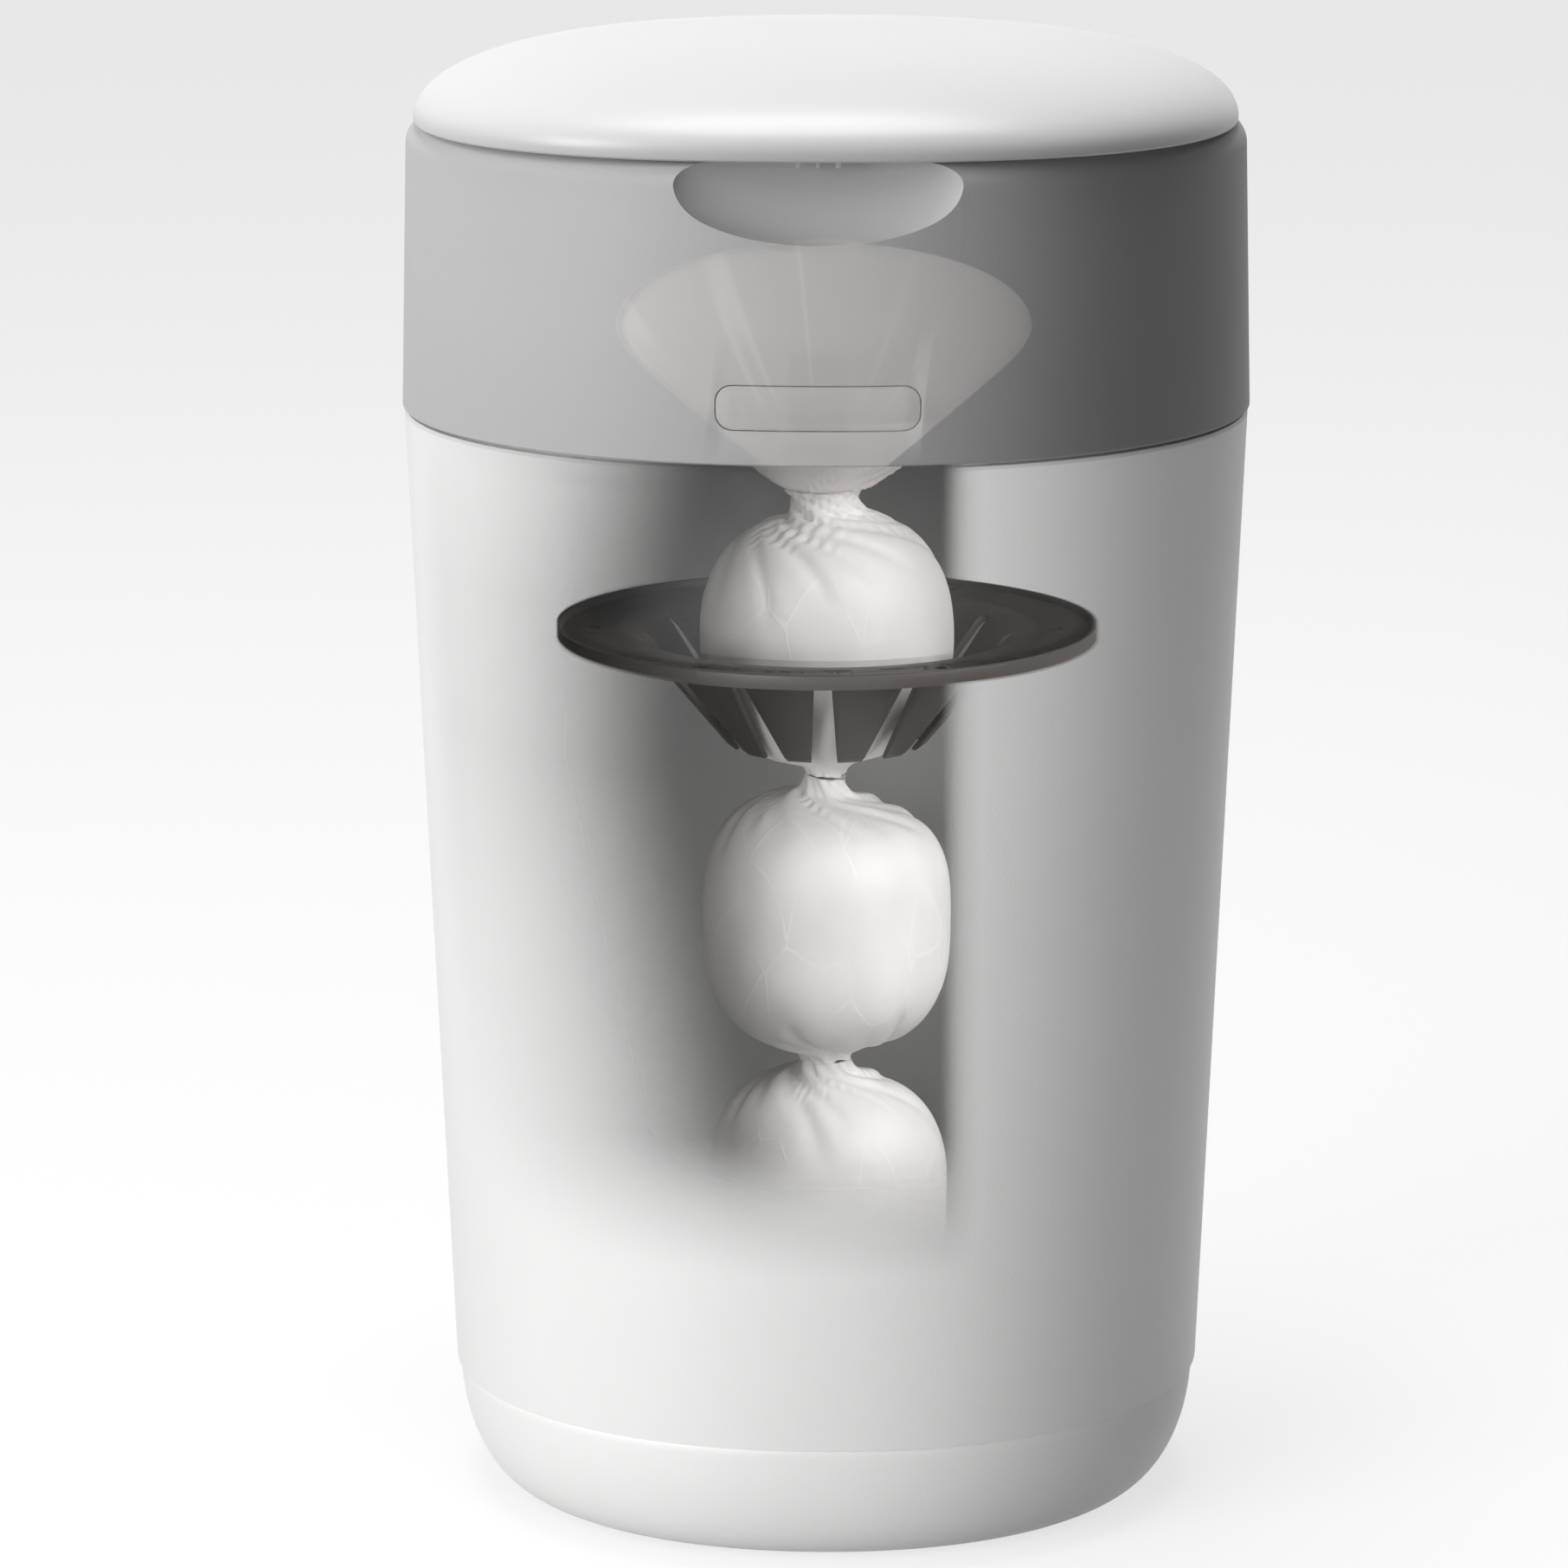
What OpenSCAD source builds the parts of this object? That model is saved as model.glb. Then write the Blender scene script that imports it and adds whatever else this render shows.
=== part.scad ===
// Nappy bin: a tub on a rounded base, a hinged head with a twisting film
// cassette, a gripper ring that holds the wrapped bundles, and a domed lid.
// Millimetres. +Z up, front towards -Y, origin on the floor under the middle.

/* [Overall] */
// Width across the collar's lower edge
body_w = 250; // [244:1:300]
// Depth divided by width, for every outline
depth_ratio = 0.96; // [0.95:0.01:1]
// Height of the base up to its seam
base_h = 38; // [30:0.5:46]
// Height of the tub wall, from the base seam to the collar
tub_h = 291; // [270:1:350]
// Height of the collar
collar_h = 83.5; // [80:0.5:102]
// Height of the lid, rim and dome
lid_h = 24.5; // [18:0.5:32]

/* [Outline] */
// Squareness of the tub, base and collar, where 2 is an ellipse
corner_exp = 2.1; // [2:0.05:2.6]
// Squareness of the lid
lid_exp = 2.4; // [2:0.05:3]
// Sides of each rounded-square outline
sides = 60; // [36:12:96]

/* [Base] */
// How far the base's wall lies inside the tub's wall at the seam
base_step = 1.2; // [0.5:0.1:3]
// How far the bottom rounding draws in
base_round_w = 21; // [12:1:30]
// Wall of the base tray
base_wall = 2.7; // [2:0.1:4]
// Diameter of a rubber foot pad
pad_d = 18; // [12:1:24]
// Thickness of a foot pad
pad_t = 3; // [2:0.5:5]
// How far the pads stand below the base
pad_proud = 1; // [0.5:0.1:2]
// Distance of the pads from the centre line, each way
pad_pos = 54; // [46:1:58]

/* [Base screws] */
// Shank diameter
base_screw_d = 4; // [3:0.1:5]
// Head diameter
base_screw_head_d = 7.2; // [6:0.1:9]
// Distance of the screws from the centre
base_screw_pos = 72; // [62:1:78]

/* [Tub] */
// How much narrower each side of the tub is at the seam than at the top
tub_draft = 12.2; // [6:0.1:18]
// How far the tub's wall lies inside the collar's wall
tub_set_back = 0.6; // [0.2:0.1:2]
// Wall of the tub
tub_wall = 2.5; // [2:0.1:4]
// Step in from the wall to the rim
rim_step = 3.8; // [3:0.1:6]
// Height of the rim above the shoulder of the tub
rim_h = 10.5; // [9:0.5:11]
// Thickness of the rim
rim_t = 2.5; // [2:0.1:4]
// Open line between the tub's wall and the collar
head_gap = 1; // [0.5:0.1:2]

/* [Collar] */
// How much each side of the collar draws in up to the shoulder
collar_draft = 1.8; // [0:0.1:4]
// Wall of the collar
collar_wall = 2.2; // [1.8:0.1:3]
// Radius of the shoulder
shoulder_r = 7; // [4:0.5:10]
// Width of the flat lip inside the shoulder
lip_w = 4.2; // [3:0.1:6]
// Thickness of the lip
lip_t = 2.5; // [2:0.1:4]

/* [Finger scoop] */
// Width of the scoop's mouth
scoop_w = 84; // [60:1:100]
// Height of the scoop's full oval
scoop_h = 34.4; // [26:0.2:44]
// Depth of the scoop
scoop_d = 12; // [8:0.5:14]
// How far the oval's middle lies below the collar's top
scoop_drop = 5.4; // [2:0.2:8]
// Wall of the scoop
scoop_wall = 2; // [1.5:0.1:3]

/* [Catch] */
// Width of the catch button
button_w = 57; // [40:1:70]
// Height of the catch button
button_h = 12.2; // [9:0.2:14]
// Corner radius of the catch button
button_r = 4.6; // [2:0.1:5]
// Height of the button's middle above the collar's lower edge
button_up = 16.3; // [15:0.1:18]
// Gap round the button
button_gap = 0.4; // [0.3:0.05:0.8]
// Travel of the button
catch_travel = 2.6; // [2.2:0.1:3]
// How far the hook reaches under the striker
catch_bite = 1.6; // [1:0.1:1.8]
// Outer diameter of the catch spring
catch_spring_d = 6; // [4:0.5:8]

/* [Lid] */
// How far the lid's edge lies inside the collar's edge
lid_inset = 4.5; // [3:0.1:8]
// Open line between collar and lid
lid_gap = 1; // [0.5:0.1:2]
// Height of the lid's upright rim
lid_rim_h = 2; // [1:0.1:4]
// Wall of the lid
lid_wall = 2; // [1.5:0.1:3]
// Roundness of the dome, where a higher value is flatter on top
dome_exp = 2.4; // [2:0.1:3]
// Thickness of the liner plate
liner_t = 2; // [1.5:0.1:3]

/* [Hinges] */
// Diameter of the head's hinge pin
head_pin_d = 4; // [3:0.1:5]
// Radius of the head's hinge barrel
head_barrel_r = 5; // [4:0.1:6]
// Height of the head's hinge axis above the collar's lower edge
head_hinge_up = 4.5; // [4.2:0.1:6]
// Distance of the head's hinge axis from the rear face
head_hinge_in = 5; // [4.6:0.1:6]
// Length of the head's hinge, over all knuckles
head_hinge_w = 72; // [60:2:74]
// Diameter of the lid's hinge pin
lid_pin_d = 3.5; // [2.5:0.1:4]
// Radius of the lid's hinge barrel
lid_barrel_r = 4.2; // [3.6:0.1:4.6]
// Length of the lid's hinge, over all knuckles
lid_hinge_w = 56; // [46:2:66]
// Width of one outer knuckle
knuckle_w = 10; // [8:1:14]

/* [Throat and twist ring] */
// Radius of the round opening in the deck
deck_hole_r = 92; // [90:0.5:94]
// Thickness of the deck
deck_t = 3; // [2.5:0.5:4]
// Width of the twist ring's flange that rides on the deck
twist_flange_w = 5; // [3:0.5:6]
// Wall of the twist ring
twist_wall = 3; // [2.5:0.1:4]
// Height of the twist ring below the deck's top
twist_drop = 24; // [22:1:28]
// Clicks in one turn
click_count = 36; // [12:12:36]
// Depth of a click notch
click_depth = 1.6; // [1:0.1:2]
// Grip ribs on the twist ring's flange
grip_count = 12; // [6:6:24]

/* [Refill cassette] */
// Radius of the throat inside the cassette
throat_r = 63.6; // [58:0.1:66]
// Width of the film space, between the two walls
film_space = 16.3; // [12:0.1:17]
// Wall of the cassette tray
cassette_wall = 1.8; // [1.5:0.1:2.5]
// Height of the cassette tray's outer wall
cassette_h = 51; // [40:1:54]
// How much lower the tray's inner wall is
inner_wall_drop = 8; // [6:1:12]

/* [Drop sleeve and gripper] */
// Wall of the sleeve
sleeve_wall = 2; // [1.6:0.1:3]
// Outer radius of the gripper ring
grip_ring_r = 81; // [76:0.5:82]
// How far the gripper ring's flange hangs below the collar's lower edge
grip_drop = 69; // [66:1:90]
// Thickness of the gripper ring's flange
grip_ring_t = 2.5; // [2:0.1:4]
// Width of the raised outer edge
grip_edge_w = 2.5; // [2:0.1:4]
// Height of the raised outer edge
grip_edge_h = 2; // [1:0.1:3]
// Radius where the flange turns down into the fingers
finger_top_r = 59; // [54:0.5:60]
// Radius at the finger tips
finger_tip_r = 27; // [22:0.5:30]
// How far the finger tips hang below the flange
finger_drop = 35; // [30:0.5:40]
// Number of fingers
finger_count = 12; // [8:2:16]
// Width of the slot between two fingers
finger_slot_w = 3.6; // [2:0.1:5]
// Thickness of a finger
finger_t = 1.8; // [1.4:0.1:2.5]
// Number of screws through the gripper ring
grip_screw_count = 6; // [4:1:8]
// Radius of the screw circle
grip_screw_pos = 69; // [66:0.5:71]
// Diameter of a gripper screw
grip_screw_d = 3; // [2.5:0.1:3.5]

/* [Film funnel] */
// Height of the film's funnel, from its upper bend to its neck
funnel_h = 46; // [36:1:46]
// Height of the funnel's neck above the gripper ring's flange
neck_up = 43; // [40:1:46]

/* [Wrapped bundles] */
// Radius of the upper bundle
upper_bundle_r = 38; // [30:0.5:38]
// Radius of the middle bundle
middle_bundle_r = 38; // [30:0.5:42]
// Radius of the lower bundle
lower_bundle_r = 37; // [30:0.5:42]
// Height of one bundle, from neck to neck
bundle_pitch = 87; // [80:1:90]
// Radius of a twisted neck
neck_r = 6.5; // [4:0.5:9]

/* [Clearances] */
// Gap between pieces that turn or slide past each other
run_gap = 0.3; // [0.2:0.05:0.5]
// Gap round a pin or a screw shank
pin_gap = 0.1; // [0.05:0.05:0.2]

/* [Hidden] */
$fn = 96;

// Heights above the floor
seam_z = base_h;
collar_z = seam_z + tub_h;
collar_top_z = collar_z + collar_h;
lid_z = collar_top_z + lid_gap;
tub_top_z = collar_z - head_gap;
rim_top_z = tub_top_z + rim_h;
lip_z = collar_top_z - lip_t;
deck_rise = 2;
deck_top_z = lip_z - deck_rise;
deck_z = deck_top_z - deck_t;
liner_z = lid_z + 0.5;
grip_ring_z = collar_z - grip_drop;

// Widths of the outlines
tub_top_w = body_w - 2 * tub_set_back;
tub_seam_w = tub_top_w - 2 * tub_draft;
base_w = tub_seam_w - 2 * base_step;
collar_top_w = body_w - 2 * collar_draft;
lid_w = body_w - 2 * lid_inset;

// Wide enough to cut through any wall
far = 400;
sliver = 0.01;

// Tub floor and the spigot that drops into the base
spigot_h = 8;
spigot_in = 4.6;
floor_t = 3;
floor_top_z = seam_z - spigot_h + floor_t;

// One corner of a rounded square, as a share of its half width
function edge_share(a, n) = pow(pow(abs(cos(a)), n) + pow(abs(sin(a)), n), -1 / n);

// Points of one rounded-square outline of full width w, drawn in by inset
function outline(w, inset = 0, n = corner_exp) =
    [for (i = [0:sides - 1])
        let (a = 360 * i / sides, k = edge_share(a, n))
        [(w / 2 - inset) * k * cos(a), (w / 2 * depth_ratio - inset) * k * sin(a)]];

// The same outline as a level ring at height z
function ring(z, w, inset = 0, n = corner_exp) =
    [for (p = outline(w, inset, n)) [p[0], p[1], z]];

// Skin over a list of rings that all have the same number of points. The
// ends are capped, or the last ring joins the first where closed is true.
module skin(rings, closed = false) {
    n = len(rings[0]);
    m = len(rings);
    last = closed ? m - 1 : m - 2;
    walls = [for (j = [0:last], i = [0:n - 1])
        let (a = j * n + i, b = j * n + (i + 1) % n)
        let (c = ((j + 1) % m) * n + (i + 1) % n, d = ((j + 1) % m) * n + i)
        each [[a, d, c], [a, c, b]]];
    caps = closed ? [] : [[for (i = [0:n - 1]) i],
                          [for (i = [n - 1:-1:0]) (m - 1) * n + i]];
    polyhedron(points = [for (r = rings) each r], faces = concat(walls, caps));
}

// A level plate in the shape of the outline
module outline_plate(z, t, w, inset = 0, n = corner_exp) {
    translate([0, 0, z]) linear_extrude(t) polygon(outline(w, inset, n));
}

// A disc or post, standing
module post(r, z, h, x = 0, y = 0) {
    translate([x, y, z]) cylinder(r = r, h = h);
}

// A tube round the middle axis
module tube(inner_r, outer_r, z, h) {
    translate([0, 0, z]) rotate_extrude() translate([inner_r, 0]) square([outer_r - inner_r, h]);
}

// A bar along X, centred on x = 0
module cross_bar(r, length, y, z) {
    translate([-length / 2, y, z]) rotate([0, 90, 0]) cylinder(r = r, h = length);
}

// A profile in the YZ plane, extruded along X from x0 to x1
module side_plate(x0, x1, points) {
    translate([x0, 0, 0]) rotate([90, 0, 90]) linear_extrude(x1 - x0) polygon(points);
}

module at_quarters() {
    for (i = [0:3]) rotate(90 * i) children();
}

// ---- Base ---------------------------------------------------------------

base_bottom_z = pad_proud;
base_round_steps = 7;
pad_pocket = pad_t - pad_proud;
boss_r = 5.5;
screw_head_h = 3;
screw_recess = 8;
screw_boss_top_z = floor_top_z + 7;
tray_floor_z = base_bottom_z + base_wall;

// The quarter oval under the base: u runs from 0 at the bottom to 1 at the seam
function base_in(u) = base_round_w * (1 - sqrt(1 - pow(1 - u, 2)));
function base_ring(u, wall = 0) =
    ring(base_bottom_z + wall + (seam_z - base_bottom_z - wall) * u, base_w, base_in(u) + wall);

module base_screw_bores(d) {
    at_quarters() post(d / 2, -sliver, screw_boss_top_z, base_screw_pos);
}

module base_foot() {
    color("whitesmoke") difference() {
        union() {
            skin([for (i = [0:base_round_steps])
                      base_ring(1 - cos(90 * i / base_round_steps)),
                  ring(seam_z, base_w, base_wall),
                  for (i = [base_round_steps - 1:-1:0])
                      base_ring(1 - cos(90 * i / base_round_steps), base_wall)]);
            at_quarters() post(boss_r, tray_floor_z - sliver,
                               seam_z - spigot_h - tray_floor_z + sliver, base_screw_pos);
        }
        base_screw_bores(base_screw_d + 2 * pin_gap);
        at_quarters() post(base_screw_head_d / 2 + run_gap, -sliver,
                           screw_recess + sliver, base_screw_pos);
        for (x = [-1, 1], y = [-1, 1])
            post(pad_d / 2 + pin_gap, -sliver, base_bottom_z + pad_pocket + sliver,
                 x * pad_pos, y * pad_pos * depth_ratio);
    }
}

module foot_pads() {
    color("dimgray") for (x = [-1, 1], y = [-1, 1])
        post(pad_d / 2, 0, pad_t, x * pad_pos, y * pad_pos * depth_ratio);
}

module base_screws() {
    color("silver") at_quarters() {
        post(base_screw_d / 2, screw_recess - sliver,
             screw_boss_top_z - 3 - screw_recess, base_screw_pos);
        post(base_screw_head_d / 2, screw_recess - screw_head_h, screw_head_h, base_screw_pos);
    }
}

// ---- Tub ----------------------------------------------------------------

rim_inner_in = rim_step + rim_t;
head_hinge_y = body_w / 2 * depth_ratio - head_hinge_in;
head_hinge_z = collar_z + head_hinge_up;
hinge_notch_w = head_hinge_w + 4;
rim_notch_w = hinge_notch_w + 10;
rim_y = tub_top_w / 2 * depth_ratio - rim_inner_in;
head_knuckle_r = head_barrel_r - 0.5;
lug_half_t = 3.6;
lug_root = 5;
striker_reach = 2.3;
striker_root = 1.2;
striker_h = 3;
striker_z = rim_top_z - 7;
striker_w = 22;
shoulder_edge = 0.6;
rim_taper = 0.3;

// Two outer knuckles stand on the tub's shoulder, at the rear
module head_hinge_lugs() {
    for (s = [-1, 1]) {
        x0 = s > 0 ? head_hinge_w / 2 - knuckle_w : -head_hinge_w / 2;
        translate([x0, head_hinge_y, head_hinge_z]) rotate([0, 90, 0])
            cylinder(r = head_knuckle_r, h = knuckle_w);
        translate([x0, head_hinge_y - lug_half_t, tub_top_z - lug_root])
            cube([knuckle_w, 2 * lug_half_t, head_hinge_z - tub_top_z + lug_root]);
    }
}

module tub_shell() {
    color("whitesmoke") difference() {
        union() {
            difference() {
                skin([ring(seam_z - spigot_h, tub_seam_w, spigot_in),
                      ring(seam_z, tub_seam_w, spigot_in),
                      ring(seam_z, tub_seam_w),
                      ring(tub_top_z - 1, tub_top_w),
                      ring(tub_top_z, tub_top_w, shoulder_edge),
                      ring(tub_top_z, tub_top_w, rim_step),
                      ring(rim_top_z, tub_top_w, rim_step + rim_taper),
                      ring(rim_top_z, tub_top_w, rim_inner_in),
                      ring(tub_top_z - 2, tub_top_w, rim_inner_in),
                      ring(tub_top_z - 8, tub_top_w, tub_wall),
                      ring(seam_z + 8, tub_seam_w, tub_wall),
                      ring(seam_z + 1, tub_seam_w, tub_wall + spigot_in),
                      ring(floor_top_z, tub_seam_w, tub_wall + spigot_in + 4)]);
                translate([-rim_notch_w / 2, 0, tub_top_z])
                    cube([rim_notch_w, far, rim_h + 1]);
            }
            head_hinge_lugs();
            // Striker lip that the catch hooks under
            side_plate(-striker_w / 2, striker_w / 2,
                       [[-rim_y - striker_root, striker_z], [-rim_y + striker_reach, striker_z],
                        [-rim_y + striker_reach, striker_z + striker_h - 1],
                        [-rim_y - striker_root, striker_z + striker_h + 2]]);
            at_quarters() post(boss_r, floor_top_z - sliver,
                               screw_boss_top_z - floor_top_z, base_screw_pos);
        }
        cross_bar(head_pin_d / 2 + pin_gap, head_hinge_w + 2, head_hinge_y, head_hinge_z);
        at_quarters() post(base_screw_d / 2 + pin_gap, -sliver, screw_boss_top_z - 2,
                           base_screw_pos);
    }
}

module head_hinge_pin() {
    color("silver") cross_bar(head_pin_d / 2, head_hinge_w, head_hinge_y, head_hinge_z);
}

// ---- Collar -------------------------------------------------------------

shoulder_z = collar_top_z - shoulder_r;
shoulder_steps = 4;
inner_r = shoulder_r - collar_wall;
ledge_z = rim_top_z + run_gap;
ledge_t = 2;
ledge_in = tub_set_back + rim_step;
ledge_notch_w = button_w + 5;
button_z = collar_z + button_up;
scoop_z = collar_top_z - scoop_drop;
scoop_y = -collar_top_w / 2 * depth_ratio;
scoop_sides = 48;
scoop_steps = 6;
lid_notch_w = lid_hinge_w + 1;
lid_hinge_y = collar_top_w / 2 * depth_ratio - 2.8;
lid_hinge_z = lid_z - lid_barrel_r;
lid_notch_z = lid_hinge_z - lid_barrel_r - 1.6;
lid_knuckle_r = lid_barrel_r - 0.2;

// Outer face from the lower edge to the inside of the lip, at wall depth t
function collar_ring(z, inset) =
    let (u = (z - collar_z) / (shoulder_z - collar_z))
    ring(z, body_w + (collar_top_w - body_w) * min(u, 1), inset);

function shoulder_ring(i, r, extra) =
    let (a = 90 * i / shoulder_steps)
    ring(shoulder_z + r * sin(a), collar_top_w, extra + r * (1 - cos(a)));

collar_outer = [collar_ring(collar_z, 0.5), collar_ring(collar_z + 0.5, 0),
                for (i = [0:shoulder_steps]) shoulder_ring(i, shoulder_r, 0)];

module collar_wall_shape() {
    skin(concat(collar_outer,
         [ring(collar_top_z, collar_top_w, shoulder_r + lip_w),
          ring(lip_z, collar_top_w, shoulder_r + lip_w),
          for (i = [shoulder_steps:-1:0]) shoulder_ring(i, inner_r, collar_wall),
          collar_ring(ledge_z + ledge_t + 4, collar_wall),
          collar_ring(ledge_z + ledge_t, ledge_in),
          collar_ring(ledge_z, ledge_in),
          collar_ring(ledge_z, collar_wall),
          collar_ring(collar_z, collar_wall)]), closed = true);
}

// One oval of the scoop, at a depth behind the collar's front
function scoop_ring(depth, k, extra) =
    [for (i = [0:scoop_sides - 1])
        let (a = -360 * i / scoop_sides)
        [(scoop_w / 2 * k + extra) * cos(a), scoop_y + depth,
         scoop_z + (scoop_h / 2 * k + extra) * sin(a)]];

// The scoop's bowl, grown on all sides by extra
module scoop_bowl(extra = 0) {
    d = scoop_d + extra;
    skin([scoop_ring(-20, 1, extra),
          for (i = [0:scoop_steps - 1])
              let (a = 90 * i / scoop_steps)
              scoop_ring(d * sin(a), cos(a), extra * cos(a)),
          scoop_ring(d, 0.05, 0)]);
}

// Rounded rectangle through the collar's front, grown by extra
module button_prism(extra = 0) {
    r = button_r + extra;
    w = button_w / 2 - button_r;
    h = button_h / 2 - button_r;
    translate([0, 0, button_z]) rotate([90, 0, 0]) {
        for (x = [-w, w], z = [-h, h]) translate([x, z, 0]) cylinder(r = r, h = far, $fn = 48);
        linear_extrude(far) square([2 * w, 2 * (h + r)], center = true);
        linear_extrude(far) square([2 * (w + r), 2 * h], center = true);
    }
}

// The head's middle knuckle hangs from the collar's rear wall
module head_knuckle() {
    w = head_hinge_w / 2 - knuckle_w - run_gap;
    wall_y = body_w / 2 * depth_ratio - collar_wall;
    cross_bar(head_knuckle_r, 2 * w, head_hinge_y, head_hinge_z);
    side_plate(-w, w,
               [[head_hinge_y - 2, head_hinge_z], [head_hinge_y + head_knuckle_r, head_hinge_z],
                [wall_y + 1, collar_z + 16], [wall_y + 1, collar_z + 24], [wall_y - 1, collar_z + 24],
                [head_hinge_y - 2, collar_z + 16]]);
}

// Two outer knuckles for the lid, at the rear of the shoulder
module lid_hinge_lugs() {
    wall_y = collar_top_w / 2 * depth_ratio - collar_wall;
    for (s = [-1, 1]) {
        x0 = s > 0 ? lid_hinge_w / 2 - knuckle_w : -lid_hinge_w / 2;
        translate([x0, lid_hinge_y, lid_hinge_z]) rotate([0, 90, 0])
            cylinder(r = lid_knuckle_r, h = knuckle_w);
        side_plate(x0, x0 + knuckle_w,
                   [[lid_hinge_y - 3.6, lid_hinge_z], [wall_y + 1, lid_notch_z - 12],
                    [wall_y + 1.5, lid_notch_z - 12], [lid_hinge_y + 2, lid_hinge_z]]);
    }
}

module collar_shell() {
    color("darkgray") difference() {
        union() {
            difference() {
                union() {
                    collar_wall_shape();
                    intersection() {
                        skin(collar_outer);
                        scoop_bowl(scoop_wall);
                    }
                }
                scoop_bowl();
                button_prism(button_gap);
                // Room for the catch's hook in the ledge
                translate([-ledge_notch_w / 2, -body_w / 2 * depth_ratio + collar_wall + 1, ledge_z - 1])
                    cube([ledge_notch_w, 12, ledge_t + 6]);
                // Room for the tub's knuckles under the rear wall
                translate([-hinge_notch_w / 2, 0, collar_z - 1])
                    cube([hinge_notch_w, far, head_hinge_up + head_barrel_r + 2]);
                // Room for the lid's barrel in the rear shoulder
                translate([-lid_notch_w / 2, lid_hinge_y - 15.5, lid_notch_z])
                    cube([lid_notch_w, 40, 40]);
            }
            head_knuckle();
            lid_hinge_lugs();
        }
        cross_bar(head_pin_d / 2 + pin_gap, far, head_hinge_y, head_hinge_z);
        cross_bar(lid_pin_d / 2 + pin_gap, far, lid_hinge_y, lid_hinge_z);
    }
}

module lid_hinge_pin() {
    color("silver") cross_bar(lid_pin_d / 2, lid_hinge_w, lid_hinge_y, lid_hinge_z);
}

// ---- Deck, sleeve and click pawl ----------------------------------------

barrel_outer_r = deck_hole_r - 2 * run_gap;
sleeve_r = deck_hole_r + 2.5;
sleeve_flange_w = 6;
sleeve_top_h = 52;
sleeve_knee_r = sleeve_r - 6;
sleeve_low_r = grip_ring_r - grip_edge_w - 1;
sleeve_foot_t = 2.5;
sleeve_foot_r = grip_screw_pos - 6;
sleeve_flange_t = 3;
sleeve_slope = 14;
sleeve_band = 6;
grip_boss_r = 3.6;
grip_boss_h = 7;
deck_in = collar_wall + run_gap + inner_r - sqrt(pow(inner_r, 2) - pow(deck_top_z - shoulder_z, 2));
pawl_angle = 150;
pawl_pos = 104;
pawl_z = deck_z - 13;
pawl_t = 6;
pawl_pin_d = 3;
pawl_boss_r = 4;
pawl_swing = 40;
pawl_half_t = 3.6;
pawl_arm = 15;
pawl_nose_y = pawl_arm - 0.6;

module head_deck() {
    color("gainsboro") difference() {
        union() {
            outline_plate(deck_z, deck_t, collar_top_w, deck_in);
            difference() {
                outline_plate(deck_top_z - sliver, deck_rise + sliver, collar_top_w, shoulder_r + 1);
                outline_plate(deck_top_z - 1, deck_rise + 2, collar_top_w, shoulder_r + lip_w - 0.5);
            }
            rotate(pawl_angle) post(pawl_boss_r, pawl_z + pawl_t + run_gap,
                                    deck_z - pawl_z - pawl_t - run_gap + sliver, pawl_pos);
        }
        post(deck_hole_r, deck_z - 1, deck_t + 2);
        scoop_bowl(scoop_wall + run_gap);
        translate([-lid_notch_w / 2 - 1, lid_hinge_y - lid_barrel_r - 1, deck_z - 1])
            cube([lid_notch_w + 2, 40, deck_t + deck_rise + 2]);
        rotate(pawl_angle) post(pawl_pin_d / 2 + pin_gap, pawl_z, deck_z - pawl_z - 1, pawl_pos);
    }
}

module drop_sleeve() {
    top = deck_z;
    foot = grip_ring_z;
    t = sleeve_wall;
    knee = top - sleeve_top_h;
    band_z = knee - sleeve_slope;
    low_z = band_z - sleeve_band - sleeve_slope;
    color("gainsboro") difference() {
        union() {
            rotate_extrude() polygon([
                [sleeve_r + sleeve_flange_w, top], [sleeve_r - t, top], [sleeve_r - t, knee],
                [sleeve_knee_r - t, band_z], [sleeve_knee_r - t, band_z - sleeve_band],
                [sleeve_low_r - t, low_z], [sleeve_low_r - t, foot + sleeve_foot_t],
                [sleeve_foot_r, foot + sleeve_foot_t], [sleeve_foot_r, foot],
                [sleeve_low_r, foot], [sleeve_low_r, low_z - 1],
                [sleeve_knee_r, band_z - sleeve_band - 1], [sleeve_knee_r, band_z - 0.5],
                [sleeve_r, knee - 0.5], [sleeve_r, top - sleeve_flange_t],
                [sleeve_r + sleeve_flange_w, top - sleeve_flange_t]]);
            // Seat for the catch's spring
            translate([0, -sleeve_r + 1, spring_z]) rotate([90, 0, 0])
                cylinder(d = catch_spring_d + 2, h = 2.5);
            at_grip_screws() post(grip_boss_r, foot, grip_boss_h, grip_screw_pos);
        }
        at_grip_screws() post(grip_screw_d / 2 + pin_gap, foot - 1, grip_boss_h - 0.5, grip_screw_pos);
        // Window for the click pawl
        rotate(pawl_angle) translate([sleeve_r - 12, -pawl_swing / 2, pawl_z - 2])
            cube([40, pawl_swing, deck_z - pawl_z + 3]);
    }
}

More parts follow.
